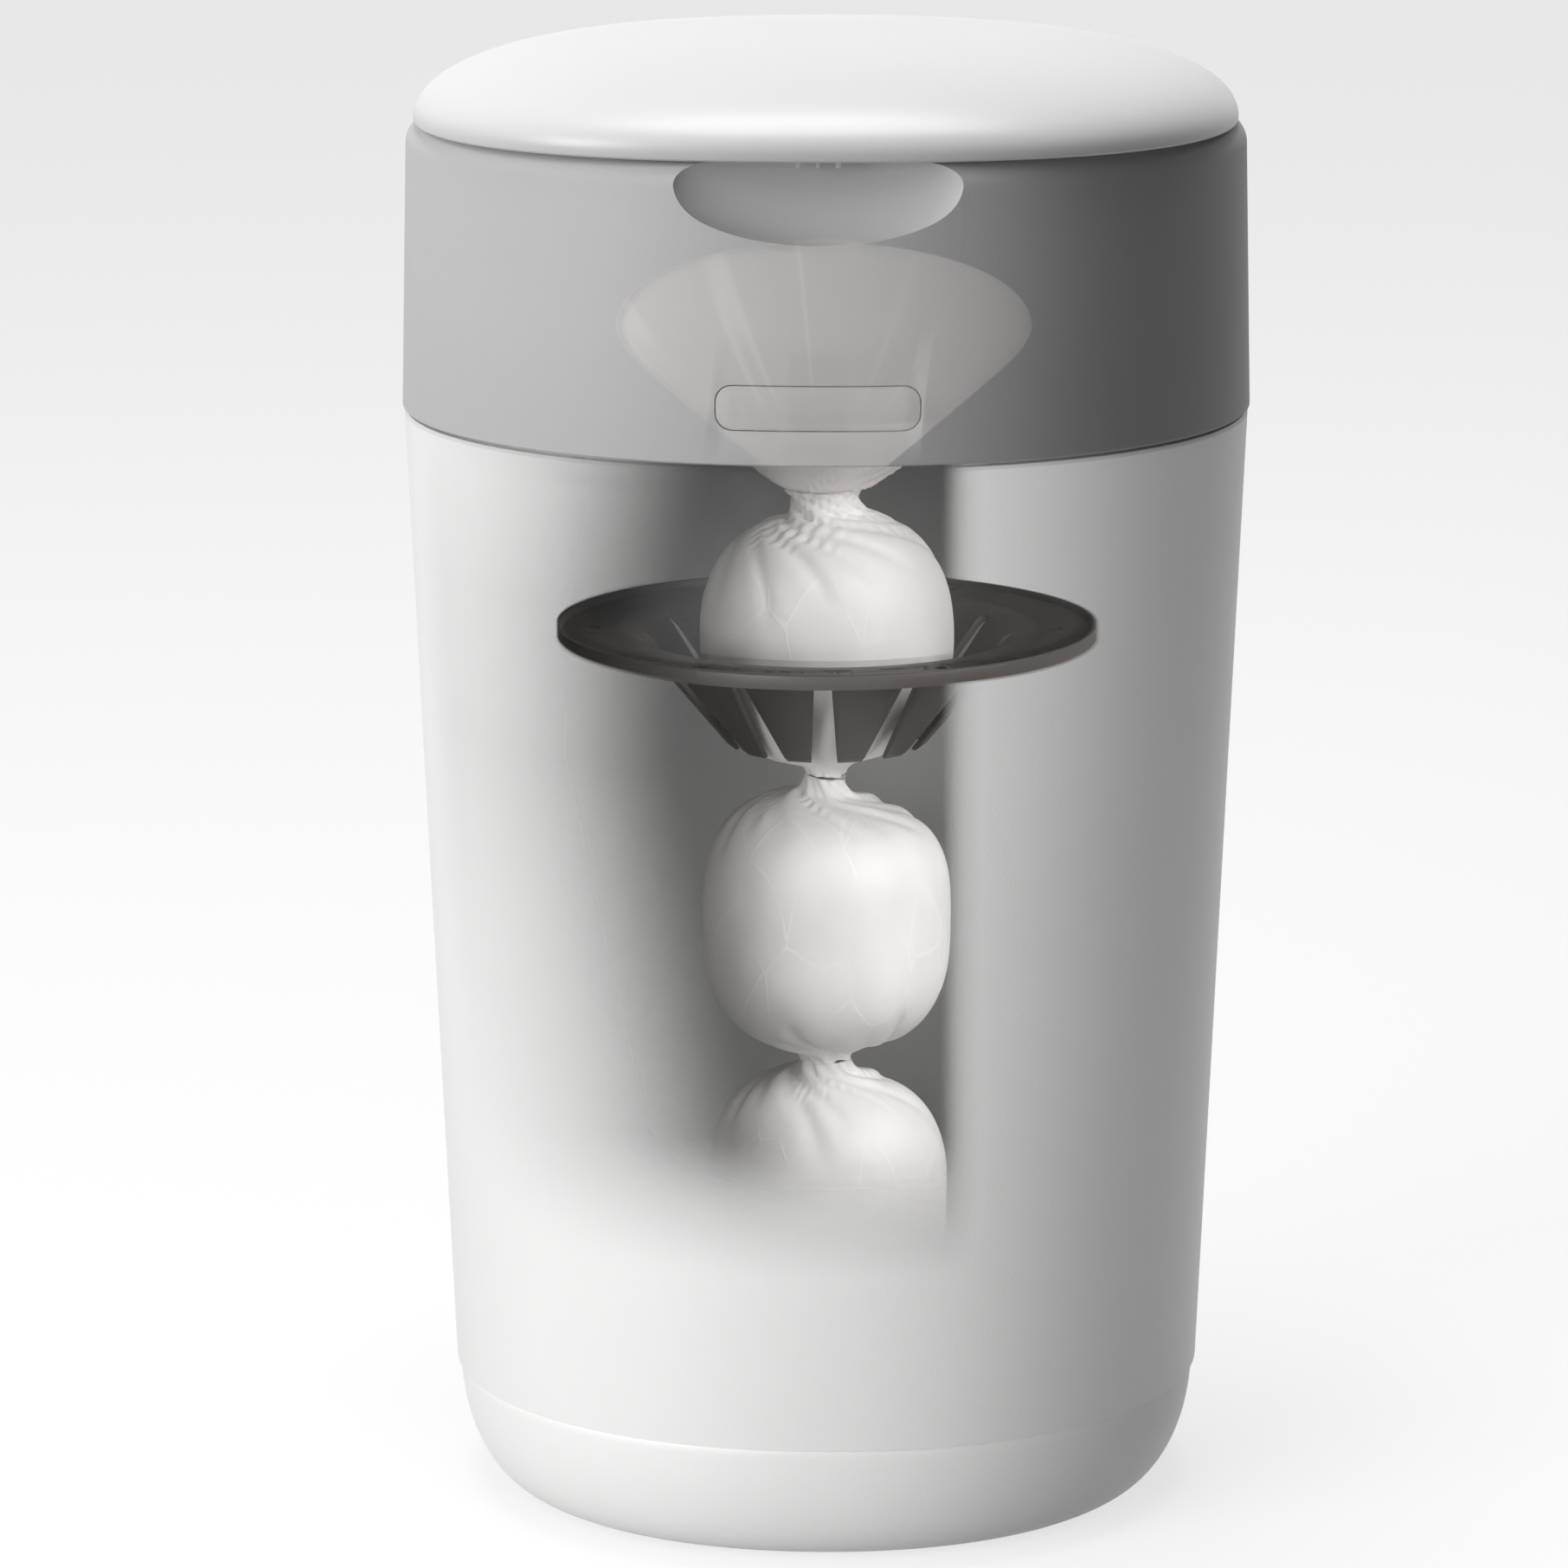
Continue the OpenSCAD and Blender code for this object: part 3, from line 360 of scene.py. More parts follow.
def ghost_reach(finish):
    """How far a point lies from the middle of the funnel's outline, where 1 is its edge."""
    x, y, z = finish.axes()
    down = (GHOST_WIDEST_Z - z).math("MAXIMUM", 0)
    up = (z - GHOST_WIDEST_Z).math("MAXIMUM", 0) / GHOST_RISE
    cone = GHOST_CONE_W - down * GHOST_CONE_SLOPE
    half = cone.math("SMOOTH_MIN", GHOST_HALF_W, 0.012)
    across = (x - GHOST_MIDDLE_X) / half
    return (across * across + up * up).math("SQRT")


def ghost_patch(finish):
    """1 inside the outline of the film funnel, on the collar's front."""
    return ghost_reach(finish).step(0.985, 1.0, 1, 0) * finish.axes()[1].step(-0.075, -0.065, 1, 0)


def painted_pleat_streaks(finish):
    """Painted pale streaks of light along the film's pleats, spreading from the funnel's neck; 1 on their lines.
    """
    x, y, z = finish.axes()
    angle = (x - GHOST_MIDDLE_X).math("ARCTAN2", z - GHOST_NECK_Z)
    far = ((x - GHOST_MIDDLE_X) * (x - GHOST_MIDDLE_X) + (z - GHOST_NECK_Z) * (z - GHOST_NECK_Z)).math("SQRT")
    where = finish.add("ShaderNodeCombineXYZ", None, {"X": angle * 3.4, "Y": far * 5})
    lines = finish.add("ShaderNodeTexNoise", None, {"Vector": where, "Scale": 1.0, "Detail": 1.0})
    return (lines - 0.5).math("ABSOLUTE").step(0.0, 0.05, 1, 0) * far.step(0.026, 0.04)


print("patches ready")

# %% [markdown]
# ## Finishes
#
# Moulded plastic isn't one flat colour. It has a fine spark-eroded grain, its gloss drifts a
# little from place to place, and its colour is a trace uneven. The same function makes all the
# plastics, and only the colour, the grain and the gloss differ. On the collar it also paints the
# lit film into the funnel's outline, paler, with painted light towards the right.

# %% Moulded plastics


def moulded(name, color, roughness=0.42, grain=0.00004, grain_scale=1500, drift=0.04, patch=None,
            clearness=1.0, lit_film_tint=None, shade=0.94, gloss=0.5):
    finish = Finish(name, color, roughness=roughness)
    finish.set("Specular IOR Level", gloss)
    cloud = finish.noise(14, 3)
    tone = finish.mix(cloud, tuple(c * shade for c in color), color)
    # Inside the funnel's outline the collar's colour is a painted picture of the lit film behind it: paler, with
    # painted pleat streaks.
    if lit_film_tint:
        painted_lit_film = finish.mix(painted_pleat_streaks(finish), lit_film_tint, tuple(c * 1.09 for c in lit_film_tint))
        # Painted light: the film grows lighter towards the right, as if lit from that side.
        painted_lit_film = finish.mix(finish.axes()[0].step(-0.02, 0.06), painted_lit_film, tuple(c * 1.3 for c in lit_film_tint))
        tone = finish.mix(patch(finish), tone, painted_lit_film)
    finish.set("Base Color", tone)
    finish.set("Roughness", roughness - drift / 2 + finish.noise(60, 2) * drift)
    finish.bump(finish.noise(grain_scale, 2), grain)
    if patch:
        finish.set("Alpha", 1 - patch(finish) * clearness)
    return finish.material


WHITE = (0.86, 0.86, 0.855)
GREY = (0.42, 0.42, 0.42)
white_tub = moulded("white tub plastic", WHITE, patch=tub_patch)
white_base = moulded("white base plastic", (0.85, 0.85, 0.845))
white_lid = moulded("white lid plastic", (0.83, 0.83, 0.825), roughness=0.34, grain=0.00002)
# The collar's funnel outline is painted with the paler colour of the lit film behind it, with painted light
# towards the right.
grey_collar = moulded("grey collar plastic", GREY, roughness=0.5, patch=ghost_patch, clearness=0.4,
                      lit_film_tint=(0.68, 0.66, 0.655), gloss=0.15)
pale_deck = moulded("pale grey plastic", (0.66, 0.66, 0.655), roughness=0.45)
white_refill = moulded("thin white plastic", (0.84, 0.84, 0.83), roughness=0.38)
dark_ring = moulded("dark flexible plastic", (0.085, 0.077, 0.070), roughness=0.42, grain=0.00003)
dark_rubber = moulded("soft rubber", (0.05, 0.05, 0.05), roughness=0.75, grain=0.00006)
print("plastics ready")

# %% [markdown]
# The drop sleeve stands between the viewer and the ring. It is made of clear plastic, so only its
# edges catch a little light. The hook and the spring of the catch would show through the funnel's
# outline, and they get the same patch as the collar. The screws of the ring are clear above its
# flange, so that they end flush with it.

# %% Plastics that give way to the x-ray view
clear_finish = Finish("clear sleeve plastic", (0.7, 0.7, 0.7), roughness=0.2)
clear_finish.set("Alpha", 0.03 + clear_finish.noise(40, 2) * 0.05)
clear_finish.bump(clear_finish.noise(300, 2), 0.00003)
clear_sleeve = clear_finish.material
hook_plastic = moulded("pale hook plastic", (0.6, 0.6, 0.595), patch=ghost_patch)
print("sleeve and hook plastics ready")

# %% [markdown]
# Drawn steel wire and turned steel pins are bright, with fine lines round them.

# %% Steel


def bright_steel(name, patch=None):
    finish = Finish(name, (0.62, 0.62, 0.61), metallic=1.0, roughness=0.28)
    lines = finish.noise(900, 2, stretch=(1, 0.05, 1))
    finish.set("Roughness", 0.22 + lines * 0.16)
    finish.bump(lines, 0.00001)
    if patch:
        finish.set("Alpha", 1 - patch(finish))
    return finish.material


steel = bright_steel("bright steel")
spring_steel = bright_steel("spring steel", ghost_patch)
ring_steel = bright_steel("ring screw steel", lambda finish: finish.axes()[2].step(0.2598, 0.2602))
print("steel ready")

# %% [markdown]
# ## Film
#
# The barrier film is off-white and slightly milky. Where it is crumpled, it has short straight
# crease lines that look pale, and the layers of film lie more or less close to the filling, which
# gives the soft clouds of grey. The creases are the borders of stretched, slanted Voronoi cells.

# %% Film finishes


def film(name, color, dark, roughness=0.46, crease_depth=0.0005):
    finish = Finish(name, color, roughness=roughness)
    clouds = finish.noise(26, 3, stretch=(1, 1, 0.6)).step(0.3, 0.7)
    slanted = finish.add("ShaderNodeMapping", None, {"Vector": finish.place, "Scale": (1, 1, 0.45),
                                                     "Rotation": (0.5, 0.6, 0.3)})
    cells = finish.add("ShaderNodeTexVoronoi", {"feature": "DISTANCE_TO_EDGE"},
                       {"Vector": slanted, "Scale": 62.0})
    crease = cells.step(0.0, 0.03, 1, 0) * finish.noise(34, 2).step(0.45, 0.62)
    tone = finish.mix(clouds, dark, color)
    finish.set("Base Color", finish.mix(crease * 0.45, tone, (0.97, 0.96, 0.95)))
    finish.set("Roughness", roughness + clouds * 0.14)
    finish.bump(crease * 0.1 + finish.noise(45, 3), crease_depth)
    return finish.material


wrap_film = film("film round the bundles", (0.90, 0.885, 0.875), (0.78, 0.76, 0.74))
funnel_film = film("film of the funnel", (0.86, 0.83, 0.82), (0.78, 0.75, 0.74), crease_depth=0.0003)
print("film ready")

# %% [markdown]
# ## Light, floor and background
#
# The light is a big soft lamp on the front left, a weaker one in front, and one overhead, as in a
# plain studio, so that the right side falls off into grey. The world and the floor look white to
# the camera, to gloss and through clear plastic, but light the object only weakly. The floor
# still darkens under the object.

# %% Studio
KEY_POWER = 41
KEY_AT = (-2.0, -1.7, 0.6)
FRONT_POWER = 15
FRONT_AT = (-1.0, -1.9, 0.5)
TOP_POWER = 36
TOP_AT = (-0.1, 0.15, 2.6)
WORLD_LIGHT = 0.045
FLOOR_COLOR = 0.36
FLOOR_GLOW = 0.70


def lamp(name, power, at, target, size):
    data = bpy.data.lights.new(name, "AREA")
    data.energy = power
    data.size = size
    obj = bpy.data.objects.new(name, data)
    bpy.context.scene.collection.objects.link(obj)
    obj.location = at
    obj.rotation_euler = (Vector(target) - Vector(at)).to_track_quat("-Z", "Y").to_euler()
    return obj


def seen_directly(nodes, links):
    """1 for rays from the camera, off gloss and through clear pieces."""
    path = nodes.new("ShaderNodeLightPath")
    total = path.outputs["Is Camera Ray"]
    for kind in ("Is Glossy Ray", "Is Transmission Ray"):
        larger = nodes.new("ShaderNodeMath")
        larger.operation = "MAXIMUM"
        links.new(total, larger.inputs[0])
        links.new(path.outputs[kind], larger.inputs[1])
        total = larger.outputs[0]
    return total


key_lamp = lamp("key lamp", KEY_POWER, KEY_AT, (0, 0, 0.25), 1.2)
front_lamp = lamp("front lamp", FRONT_POWER, FRONT_AT, (0, 0, 0.2), 0.7)
lamp("top lamp", TOP_POWER, TOP_AT, (0, 0, 0.4), 1.4)

world = bpy.data.worlds.new("studio")
bpy.context.scene.world = world
world.use_nodes = True
sky, sky_links = world.node_tree.nodes, world.node_tree.links
background = sky["Background"]
background.inputs["Color"].default_value = (1, 1, 1, 1)
level = sky.new("ShaderNodeMapRange")
level.inputs["To Min"].default_value = WORLD_LIGHT
sky_links.new(seen_directly(sky, sky_links), level.inputs["Value"])
sky_links.new(level.outputs[0], background.inputs["Strength"])

floor_bm = bmesh.new()
bmesh.ops.create_grid(floor_bm, x_segments=1, y_segments=1, size=6)
floor_mesh = bpy.data.meshes.new("floor")
floor_bm.to_mesh(floor_mesh)
floor_bm.free()
floor = bpy.data.objects.new("floor", floor_mesh)
bpy.context.scene.collection.objects.link(floor)
floor_finish = Finish("white floor", (FLOOR_COLOR,) * 3, roughness=0.9)
glow = seen_directly(floor_finish.nodes, floor_finish.links)
floor_finish.shader.inputs["Emission Color"].default_value = (1, 1, 1, 1)
glow_level = floor_finish.add("ShaderNodeMath", {"operation": "MULTIPLY"}, {1: FLOOR_GLOW})
floor_finish.links.new(glow, glow_level.socket.node.inputs[0])
floor_finish.set("Emission Strength", glow_level)
floor_mesh.materials.append(floor_finish.material)
print("studio ready")

# %% [markdown]
# ## Tub
#
# The tub is one moulding: a wall that leans out a little towards the top, a shoulder, and a rim
# that the collar slips over. Its floor ends in a spigot that drops into the base. One profile
# holds all of it, and the small hinge knuckles and the striker for the catch are added to it.

# %% Tub
tub_low, tub_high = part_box("tub_shell")
collar_low, collar_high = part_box("collar_shell")
base_low, base_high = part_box("base_foot")
pin_low, pin_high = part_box("head_hinge_pin")
SEAM_Z = base_high.z
TUB_TOP = (tub_high.x, collar_low.z - 1 * MM)
TUB_DRAFT = 12.2 * MM
TUB_WALL = 2.5 * MM
RIM_STEP = 3.8 * MM
RIM_T = 2.5 * MM
FLOOR_TOP_Z = SEAM_Z - 5 * MM
SPIGOT_IN = 4.6 * MM
hinge_y = (pin_low.y + pin_high.y) / 2
hinge_z = (pin_low.z + pin_high.z) / 2


def tub_profile():
    top_r, top_z = TUB_TOP
    foot_r = top_r - TUB_DRAFT
    rim_r = top_r - RIM_STEP
    rim_z = tub_high.z
    return [(0, tub_low.z), (foot_r - SPIGOT_IN, tub_low.z), (foot_r - SPIGOT_IN, SEAM_Z),
            (foot_r, SEAM_Z), (top_r, top_z - 1 * MM), (top_r - 0.6 * MM, top_z), (rim_r, top_z),
            (rim_r - 0.3 * MM, rim_z), (rim_r - RIM_T, rim_z), (rim_r - RIM_T, top_z - 2 * MM),
            (top_r - TUB_WALL, top_z - 8 * MM), (foot_r - TUB_WALL, SEAM_Z + 12 * MM),
            (foot_r - TUB_WALL - 2 * MM, SEAM_Z + 3 * MM),
            (foot_r - TUB_WALL - 6 * MM, FLOOR_TOP_Z), (0, FLOOR_TOP_Z)]


tub = spin_profile(tub_profile(), closed=False)
press_square(tub, CORNER_EXP)
notch = bmesh.new()
add_block(notch, (-0.043, 0.08, TUB_TOP[1]), (0.043, 0.14, tub_high.z + 0.01))
tub = combined(tub, notch, "DIFFERENCE")
soften(tub, 0.4 * MM, least_angle=40)
for side in (-1, 1):
    outer, inner = side * pin_high.x, side * (pin_high.x - 10 * MM)
    lug = add_block(tub, (min(outer, inner), hinge_y - 3.6 * MM, TUB_TOP[1] - 5 * MM),
                    (max(outer, inner), hinge_y + 3.6 * MM, hinge_z))
    eye = add_cross_bar(tub, 4.5 * MM, 10 * MM, hinge_y, hinge_z)
    bmesh.ops.translate(tub, verts=eye, vec=((outer + inner) / 2, 0, 0))
striker_y = -(TUB_TOP[0] - RIM_STEP - RIM_T) * DEPTH_RATIO
add_block(tub, (-0.011, striker_y - 1 * MM, tub_high.z - 7 * MM),
          (0.011, striker_y + 2.3 * MM, tub_high.z - 4 * MM))
tub_piece = piece("tub_wall", tub, "tub", white_tub, ["tub_shell"])

# %% [markdown]
# ## Base
#
# Below the seam the base draws in by a quarter oval, which gives the soft foot of the bin. The
# underside is flat, with pockets for the rubber pads.

# %% Base
BASE_ROUND_W = 21 * MM
BASE_WALL = 2.7 * MM
PAD_POCKET = 2 * MM
SCREW_WELL = 8 * MM
pad_low, pad_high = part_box("foot_pads")
screw_low, screw_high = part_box("base_screws")


def base_profile():
    outer_r = base_high.x
    bottom_z = base_low.z
    rise = SEAM_Z - bottom_z
    outside = arc(outer_r - BASE_ROUND_W, SEAM_Z, BASE_ROUND_W, -90, 0, 20, rz=rise)
    inside = arc(outer_r - BASE_ROUND_W, SEAM_Z, BASE_ROUND_W - BASE_WALL, 0, -90, 16,
                 rz=rise - BASE_WALL)
    return [(0, bottom_z)] + outside + inside + [(0, bottom_z + BASE_WALL)]


base = spin_profile(base_profile(), closed=False)
press_square(base, CORNER_EXP)
wells = bmesh.new()
pad_r = 9.1 * MM
for sx in (-1, 1):
    for sy in (-1, 1):
        made = bmesh.ops.create_cone(wells, cap_ends=True, segments=48, radius1=pad_r,
                                     radius2=pad_r, depth=2 * PAD_POCKET)["verts"]
        at = (sx * (pad_high.x - 9 * MM), sy * (pad_high.y - 9 * MM), base_low.z)
        bmesh.ops.translate(wells, verts=made, vec=at)
base = combined(base, wells, "DIFFERENCE")
soften(base, 0.35 * MM, least_angle=40)
piece("base_bowl", base, "tub", white_base, ["base_foot"])

# %% [markdown]
# ## Collar
#
# The collar is a thin skirt with a round shoulder and a flat lip inside it. The finger scoop is
# an oval hollow that is pressed into the front. Its cutter is an oval tube with half an egg at its
# end. A sphere makes both: the half in front of the wall is pulled out to a tube, and the half
# behind it is the egg. The same shape, grown by the wall's thickness, gives the bowl.

# %% Collar shell
COLLAR_DRAFT = 1.8 * MM
COLLAR_WALL = 2.2 * MM
SHOULDER_R = 7 * MM
LIP_W = 4.2 * MM
LIP_T = 2.5 * MM
LEDGE_Z = tub_high.z + 0.3 * MM
SCOOP = Vector((42.5, 9, 17.2)) * MM
SCOOP_IN = 4.5 * MM
SCOOP_Z = collar_high.z - 5.4 * MM
SCOOP_WALL = 2 * MM
collar_r = collar_high.x
collar_top_r = collar_r - COLLAR_DRAFT
shoulder_z = collar_high.z - SHOULDER_R


def collar_outside():
    return ([(collar_r - 0.5 * MM, collar_low.z), (collar_r, collar_low.z + 0.5 * MM),
             (collar_r - COLLAR_DRAFT * 0.5, (collar_low.z + shoulder_z) / 2)]
            + arc(collar_top_r - SHOULDER_R, shoulder_z, SHOULDER_R, 0, 90, 12))


def collar_inside():
    inner = SHOULDER_R - COLLAR_WALL
    return ([(collar_top_r - SHOULDER_R - LIP_W, collar_high.z),
             (collar_top_r - SHOULDER_R - LIP_W, collar_high.z - LIP_T)]
            + arc(collar_top_r - SHOULDER_R, shoulder_z, inner, 88, 0, 8)
            + [(collar_r - 2.6 * MM, LEDGE_Z + 6 * MM), (collar_r - 4.6 * MM, LEDGE_Z + 2 * MM),
               (collar_r - 4.6 * MM, LEDGE_Z), (collar_r - COLLAR_WALL, LEDGE_Z),
               (collar_r - COLLAR_WALL, collar_low.z)])


def scoop_egg(grow=0.0):
    """The hollow of the scoop as a closed shape, grown on all sides by grow."""
    bm = bmesh.new()
    bmesh.ops.create_uvsphere(bm, u_segments=64, v_segments=96, radius=1)
    bmesh.ops.rotate(bm, verts=bm.verts[:], cent=(0, 0, 0), matrix=Matrix.Rotation(math.pi / 2, 3, "X"))
    size = SCOOP + Vector((grow, grow, grow))
    for v in bm.verts:
        round_it = 1.0 if v.co.y > 0 else 1 / max(1 - v.co.y ** 2, 0.002) ** 0.5
        deep = size.y if v.co.y > 0 else 25 * MM
        v.co = Vector((v.co.x * round_it * size.x, v.co.y * deep + SCOOP_IN - collar_r * DEPTH_RATIO,
                       v.co.z * round_it * size.z + SCOOP_Z))
    return bm


def by_scoop(edge):
    """The edges round the scoop stay crisp, as they were cut."""
    return all(abs(v.co.x) < SCOOP.x + 4 * MM and v.co.y < -0.75 * collar_r
               and v.co.z > SCOOP_Z - SCOOP.z - 4 * MM for v in edge.verts)


collar = spin_profile(collar_outside() + collar_inside())
press_square(collar, CORNER_EXP)
solid = spin_profile(collar_outside() + [(0, collar_high.z), (0, collar_low.z)])
press_square(solid, CORNER_EXP)
bowl = combined(solid, scoop_egg(SCOOP_WALL), "INTERSECT")
collar = combined(collar, bowl, "UNION")
collar = combined(collar, scoop_egg(), "DIFFERENCE")
print("collar:", len(collar.faces), "faces with its scoop")

# %% [markdown]
# A rounded plate sits flush in the collar's front. It is cut from the same outer shape as the
# collar, so both surfaces run through, and only a thin open line shows round it. Openings for
# the hinges are cut at the rear, and the knuckles are added as plain round bars on webs.

# %% Openings, plate and knuckles
PLATE = (57 * MM, 12.2 * MM)
PLATE_R = 4.6 * MM
PLATE_GAP = 0.4 * MM
PLATE_T = 4.4 * MM
plate_z = collar_low.z + 16.3 * MM
lid_pin_low, lid_pin_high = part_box("lid_hinge_pin")
lid_hinge_y = (lid_pin_low.y + lid_pin_high.y) / 2
lid_hinge_z = (lid_pin_low.z + lid_pin_high.z) / 2


def rounded_prism(width, height, radius, z, y0, y1):
    """A rounded rectangle that stands upright, from y0 to y1."""
    bm = bmesh.new()
    made = add_block(bm, (-width / 2, y0, z - height / 2), (width / 2, y1, z + height / 2))
    corners = [e for e in bm.edges if abs(e.verts[0].co.y - e.verts[1].co.y) > abs(y1 - y0) / 2]
    bmesh.ops.bevel(bm, geom=corners, affect="EDGES", offset=radius, segments=10, profile=0.5,
                    material=-1)
    return bm


front_y = -collar_r * DEPTH_RATIO
plate_hole = rounded_prism(PLATE[0] + 2 * PLATE_GAP, PLATE[1] + 2 * PLATE_GAP,
                           PLATE_R + PLATE_GAP, plate_z, front_y - 0.02, front_y + 0.012)
collar = combined(collar, plate_hole, "DIFFERENCE")
rear_notches = bmesh.new()
add_block(rear_notches, (-0.038, 0.08, collar_low.z - 1 * MM), (0.038, 0.14, hinge_z + 7 * MM))
add_block(rear_notches, (-0.0285, lid_hinge_y - 15 * MM, lid_hinge_z - 6 * MM), (0.0285, 0.14, 0.43))
collar = combined(collar, rear_notches, "DIFFERENCE")
soften(collar, 0.35 * MM, least_angle=38, spared=by_scoop)
rear_wall_y = collar_r * DEPTH_RATIO - COLLAR_WALL
add_cross_bar(collar, 4.5 * MM, 51 * MM, hinge_y, hinge_z)
add_block(collar, (-0.0255, hinge_y - 1 * MM, hinge_z), (0.0255, rear_wall_y + 0.5 * MM, hinge_z + 16 * MM))
for side in (-1, 1):
    outer, inner = side * lid_pin_high.x, side * (lid_pin_high.x - 10 * MM)
    eye = add_cross_bar(collar, 4 * MM, 10 * MM, lid_hinge_y, lid_hinge_z)
    bmesh.ops.translate(collar, verts=eye, vec=((outer + inner) / 2, 0, 0))
    add_block(collar, (min(outer, inner), lid_hinge_y - 3 * MM, lid_hinge_z - 16 * MM),
              (max(outer, inner), lid_hinge_y + 2 * MM, lid_hinge_z))
piece("collar", collar, "head", grey_collar, ["collar_shell"])

plate_solid = spin_profile(collar_outside() + [(0, collar_high.z), (0, collar_low.z)])
press_square(plate_solid, CORNER_EXP)
plate = combined(plate_solid, rounded_prism(*PLATE, PLATE_R, plate_z, front_y - 0.02,
                                            front_y + PLATE_T), "INTERSECT")
soften(plate, 0.3 * MM, least_angle=38)
piece("catch_plate", plate, "catch", grey_collar, ["catch_button"])

# %% [markdown]
# ## Lid
#
# The lid is a low pillow: an upright rim of a millimetre, and a dome that stays nearly flat in the
# middle and turns down towards its edge.

# %% Lid
lid_low, lid_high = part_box("lid_shell")
LID_RIM_H = 1.2 * MM
LID_WALL = 2 * MM
DOME_FLAT = 3.0
DOME_EDGE = 0.5
DOME_STEPS = 30


def dome(radius, z, height):
    """Section of the dome from its edge to the middle."""
    shares = [math.cos(math.pi / 2 * i / DOME_STEPS) ** 0.7 for i in range(DOME_STEPS)] + [0.0]
    return [(radius * r, z + height * (1 - r ** DOME_FLAT) ** DOME_EDGE) for r in shares]


lid_r = lid_high.x
dome_z = lid_low.z + LID_RIM_H
dome_h = lid_high.z - dome_z
lid_outside = [(lid_r - 0.5 * MM, lid_low.z), (lid_r, lid_low.z + 0.5 * MM)] + dome(lid_r, dome_z, dome_h)
lid_inside = dome(lid_r - 2.2 * MM, dome_z, dome_h - LID_WALL)[::-1] + [(lid_r - 2.2 * MM, lid_low.z)]
lid = spin_profile(lid_outside[:-1] + [(0, lid_high.z)], closed=False)
underside = spin_profile([(0, lid_inside[0][1])] + lid_inside[1:] + [lid_outside[0]], closed=False)
add_shape(lid, underside)
bmesh.ops.remove_doubles(lid, verts=lid.verts[:], dist=1e-6)
bmesh.ops.recalc_face_normals(lid, faces=lid.faces[:])
press_square(lid, LID_EXP)
for x in (-5.6 * MM, 0, 5.6 * MM):
    rib = bmesh.new()
    add_block(rib, (x - 0.7 * MM, 1.5 * MM - lid_r * DEPTH_RATIO, lid_low.z - 1.6 * MM),
              (x + 0.7 * MM, 6 * MM - lid_r * DEPTH_RATIO, lid_low.z + 0.5 * MM))
    soften(rib, 0.4 * MM)
    add_shape(lid, rib)
piece("lid_dome", lid, "lid", white_lid, ["lid_shell"], smooth_angle=40)

# %% [markdown]
# ## Gripper ring
#
# The dark ring is one soft moulding: a flat flange with a thin raised edge, which bends down into
# a funnel of twelve fingers. The fingers are what is left between the slots, so one wedge with a
# round end is cut out twelve times.

# %% Gripper ring
ring_low, ring_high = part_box("gripper_ring")
FINGERS = 12
SLOT_ROOT_W = 4.6 * MM
SLOT_TIP_W = 8.0 * MM
SLOT_ROOT_R = 55 * MM
SCREWS = 6
SCREW_CIRCLE_R = 69 * MM
flange_z = ring_high.z - 2 * MM
tip_z = ring_low.z


def ring_profile():
    outer_r = ring_high.x
    upper = [(outer_r, flange_z - 2.5 * MM), (outer_r, ring_high.z - 0.5 * MM),
             (outer_r - 0.5 * MM, ring_high.z), (outer_r - 1.5 * MM, ring_high.z),
             (outer_r - 2.0 * MM, ring_high.z - 0.6 * MM), (outer_r - 2.3 * MM, flange_z)]
    root = arc(61 * MM, flange_z - 12 * MM, 12 * MM, 90, 134, 8)
    tips = [(29 * MM, tip_z + 2.5 * MM), (27.4 * MM, tip_z + 0.5 * MM), (28.6 * MM, tip_z),
            (30.6 * MM, tip_z + 1.6 * MM)]
    below = [(r + 1.3 * MM, z - 1.9 * MM) for r, z in root[::-1]]
    return upper + [(66 * MM, flange_z)] + root + tips + below + [(66 * MM, flange_z - 2.5 * MM)]


def add_slot(bm, angle):
    """Adds a wedge with a round upper end, laid along the cone and turned to its angle."""
    slot = bmesh.new()
    for v in add_block(slot, (-46 * MM, -SLOT_ROOT_W / 2, -12 * MM),
                       (SLOT_ROOT_W / 2, SLOT_ROOT_W / 2, 12 * MM)):
        if v.co.x < 0:
            v.co.y *= SLOT_TIP_W / SLOT_ROOT_W
    corners = [e for e in slot.edges if min(v.co.x for v in e.verts) > 0
               and e.verts[0].co.z * e.verts[1].co.z < 0]
    bmesh.ops.bevel(slot, geom=corners, affect="EDGES", offset=SLOT_ROOT_W * 0.49, segments=8,
                    profile=0.5, material=-1)
    lean = Matrix.Rotation(-math.radians(46), 3, "Y")
    bmesh.ops.rotate(slot, verts=slot.verts[:], cent=(0, 0, 0), matrix=lean)
    bmesh.ops.translate(slot, verts=slot.verts[:], vec=(SLOT_ROOT_R, 0, flange_z - 3.5 * MM))
    bmesh.ops.rotate(slot, verts=slot.verts[:], cent=(0, 0, 0), matrix=Matrix.Rotation(angle, 3, "Z"))
    add_shape(bm, slot)


ring = spin_profile(ring_profile(), steps=240)
slots = bmesh.new()
for i in range(FINGERS):
    add_slot(slots, 2 * math.pi * i / FINGERS)
for i in range(SCREWS):
    made = bmesh.ops.create_cone(slots, cap_ends=True, segments=24, radius1=1.6 * MM,
                                 radius2=1.6 * MM, depth=0.02)["verts"]
    angle = 2 * math.pi * i / SCREWS
    at = (SCREW_CIRCLE_R * math.cos(angle), SCREW_CIRCLE_R * math.sin(angle), flange_z)
    bmesh.ops.translate(slots, verts=made, vec=at)
ring = combined(ring, slots, "DIFFERENCE")
soften(ring, 0.3 * MM, least_angle=45)
piece("gripper", ring, "head", dark_ring, ["gripper_ring"], smooth_angle=40)

# %% [markdown]
# The ring hangs from the drop sleeve, a tube that steps in twice on its way down and ends in a
# flat foot. It is a plain turned wall here, so that few clear surfaces lie before the bundles.

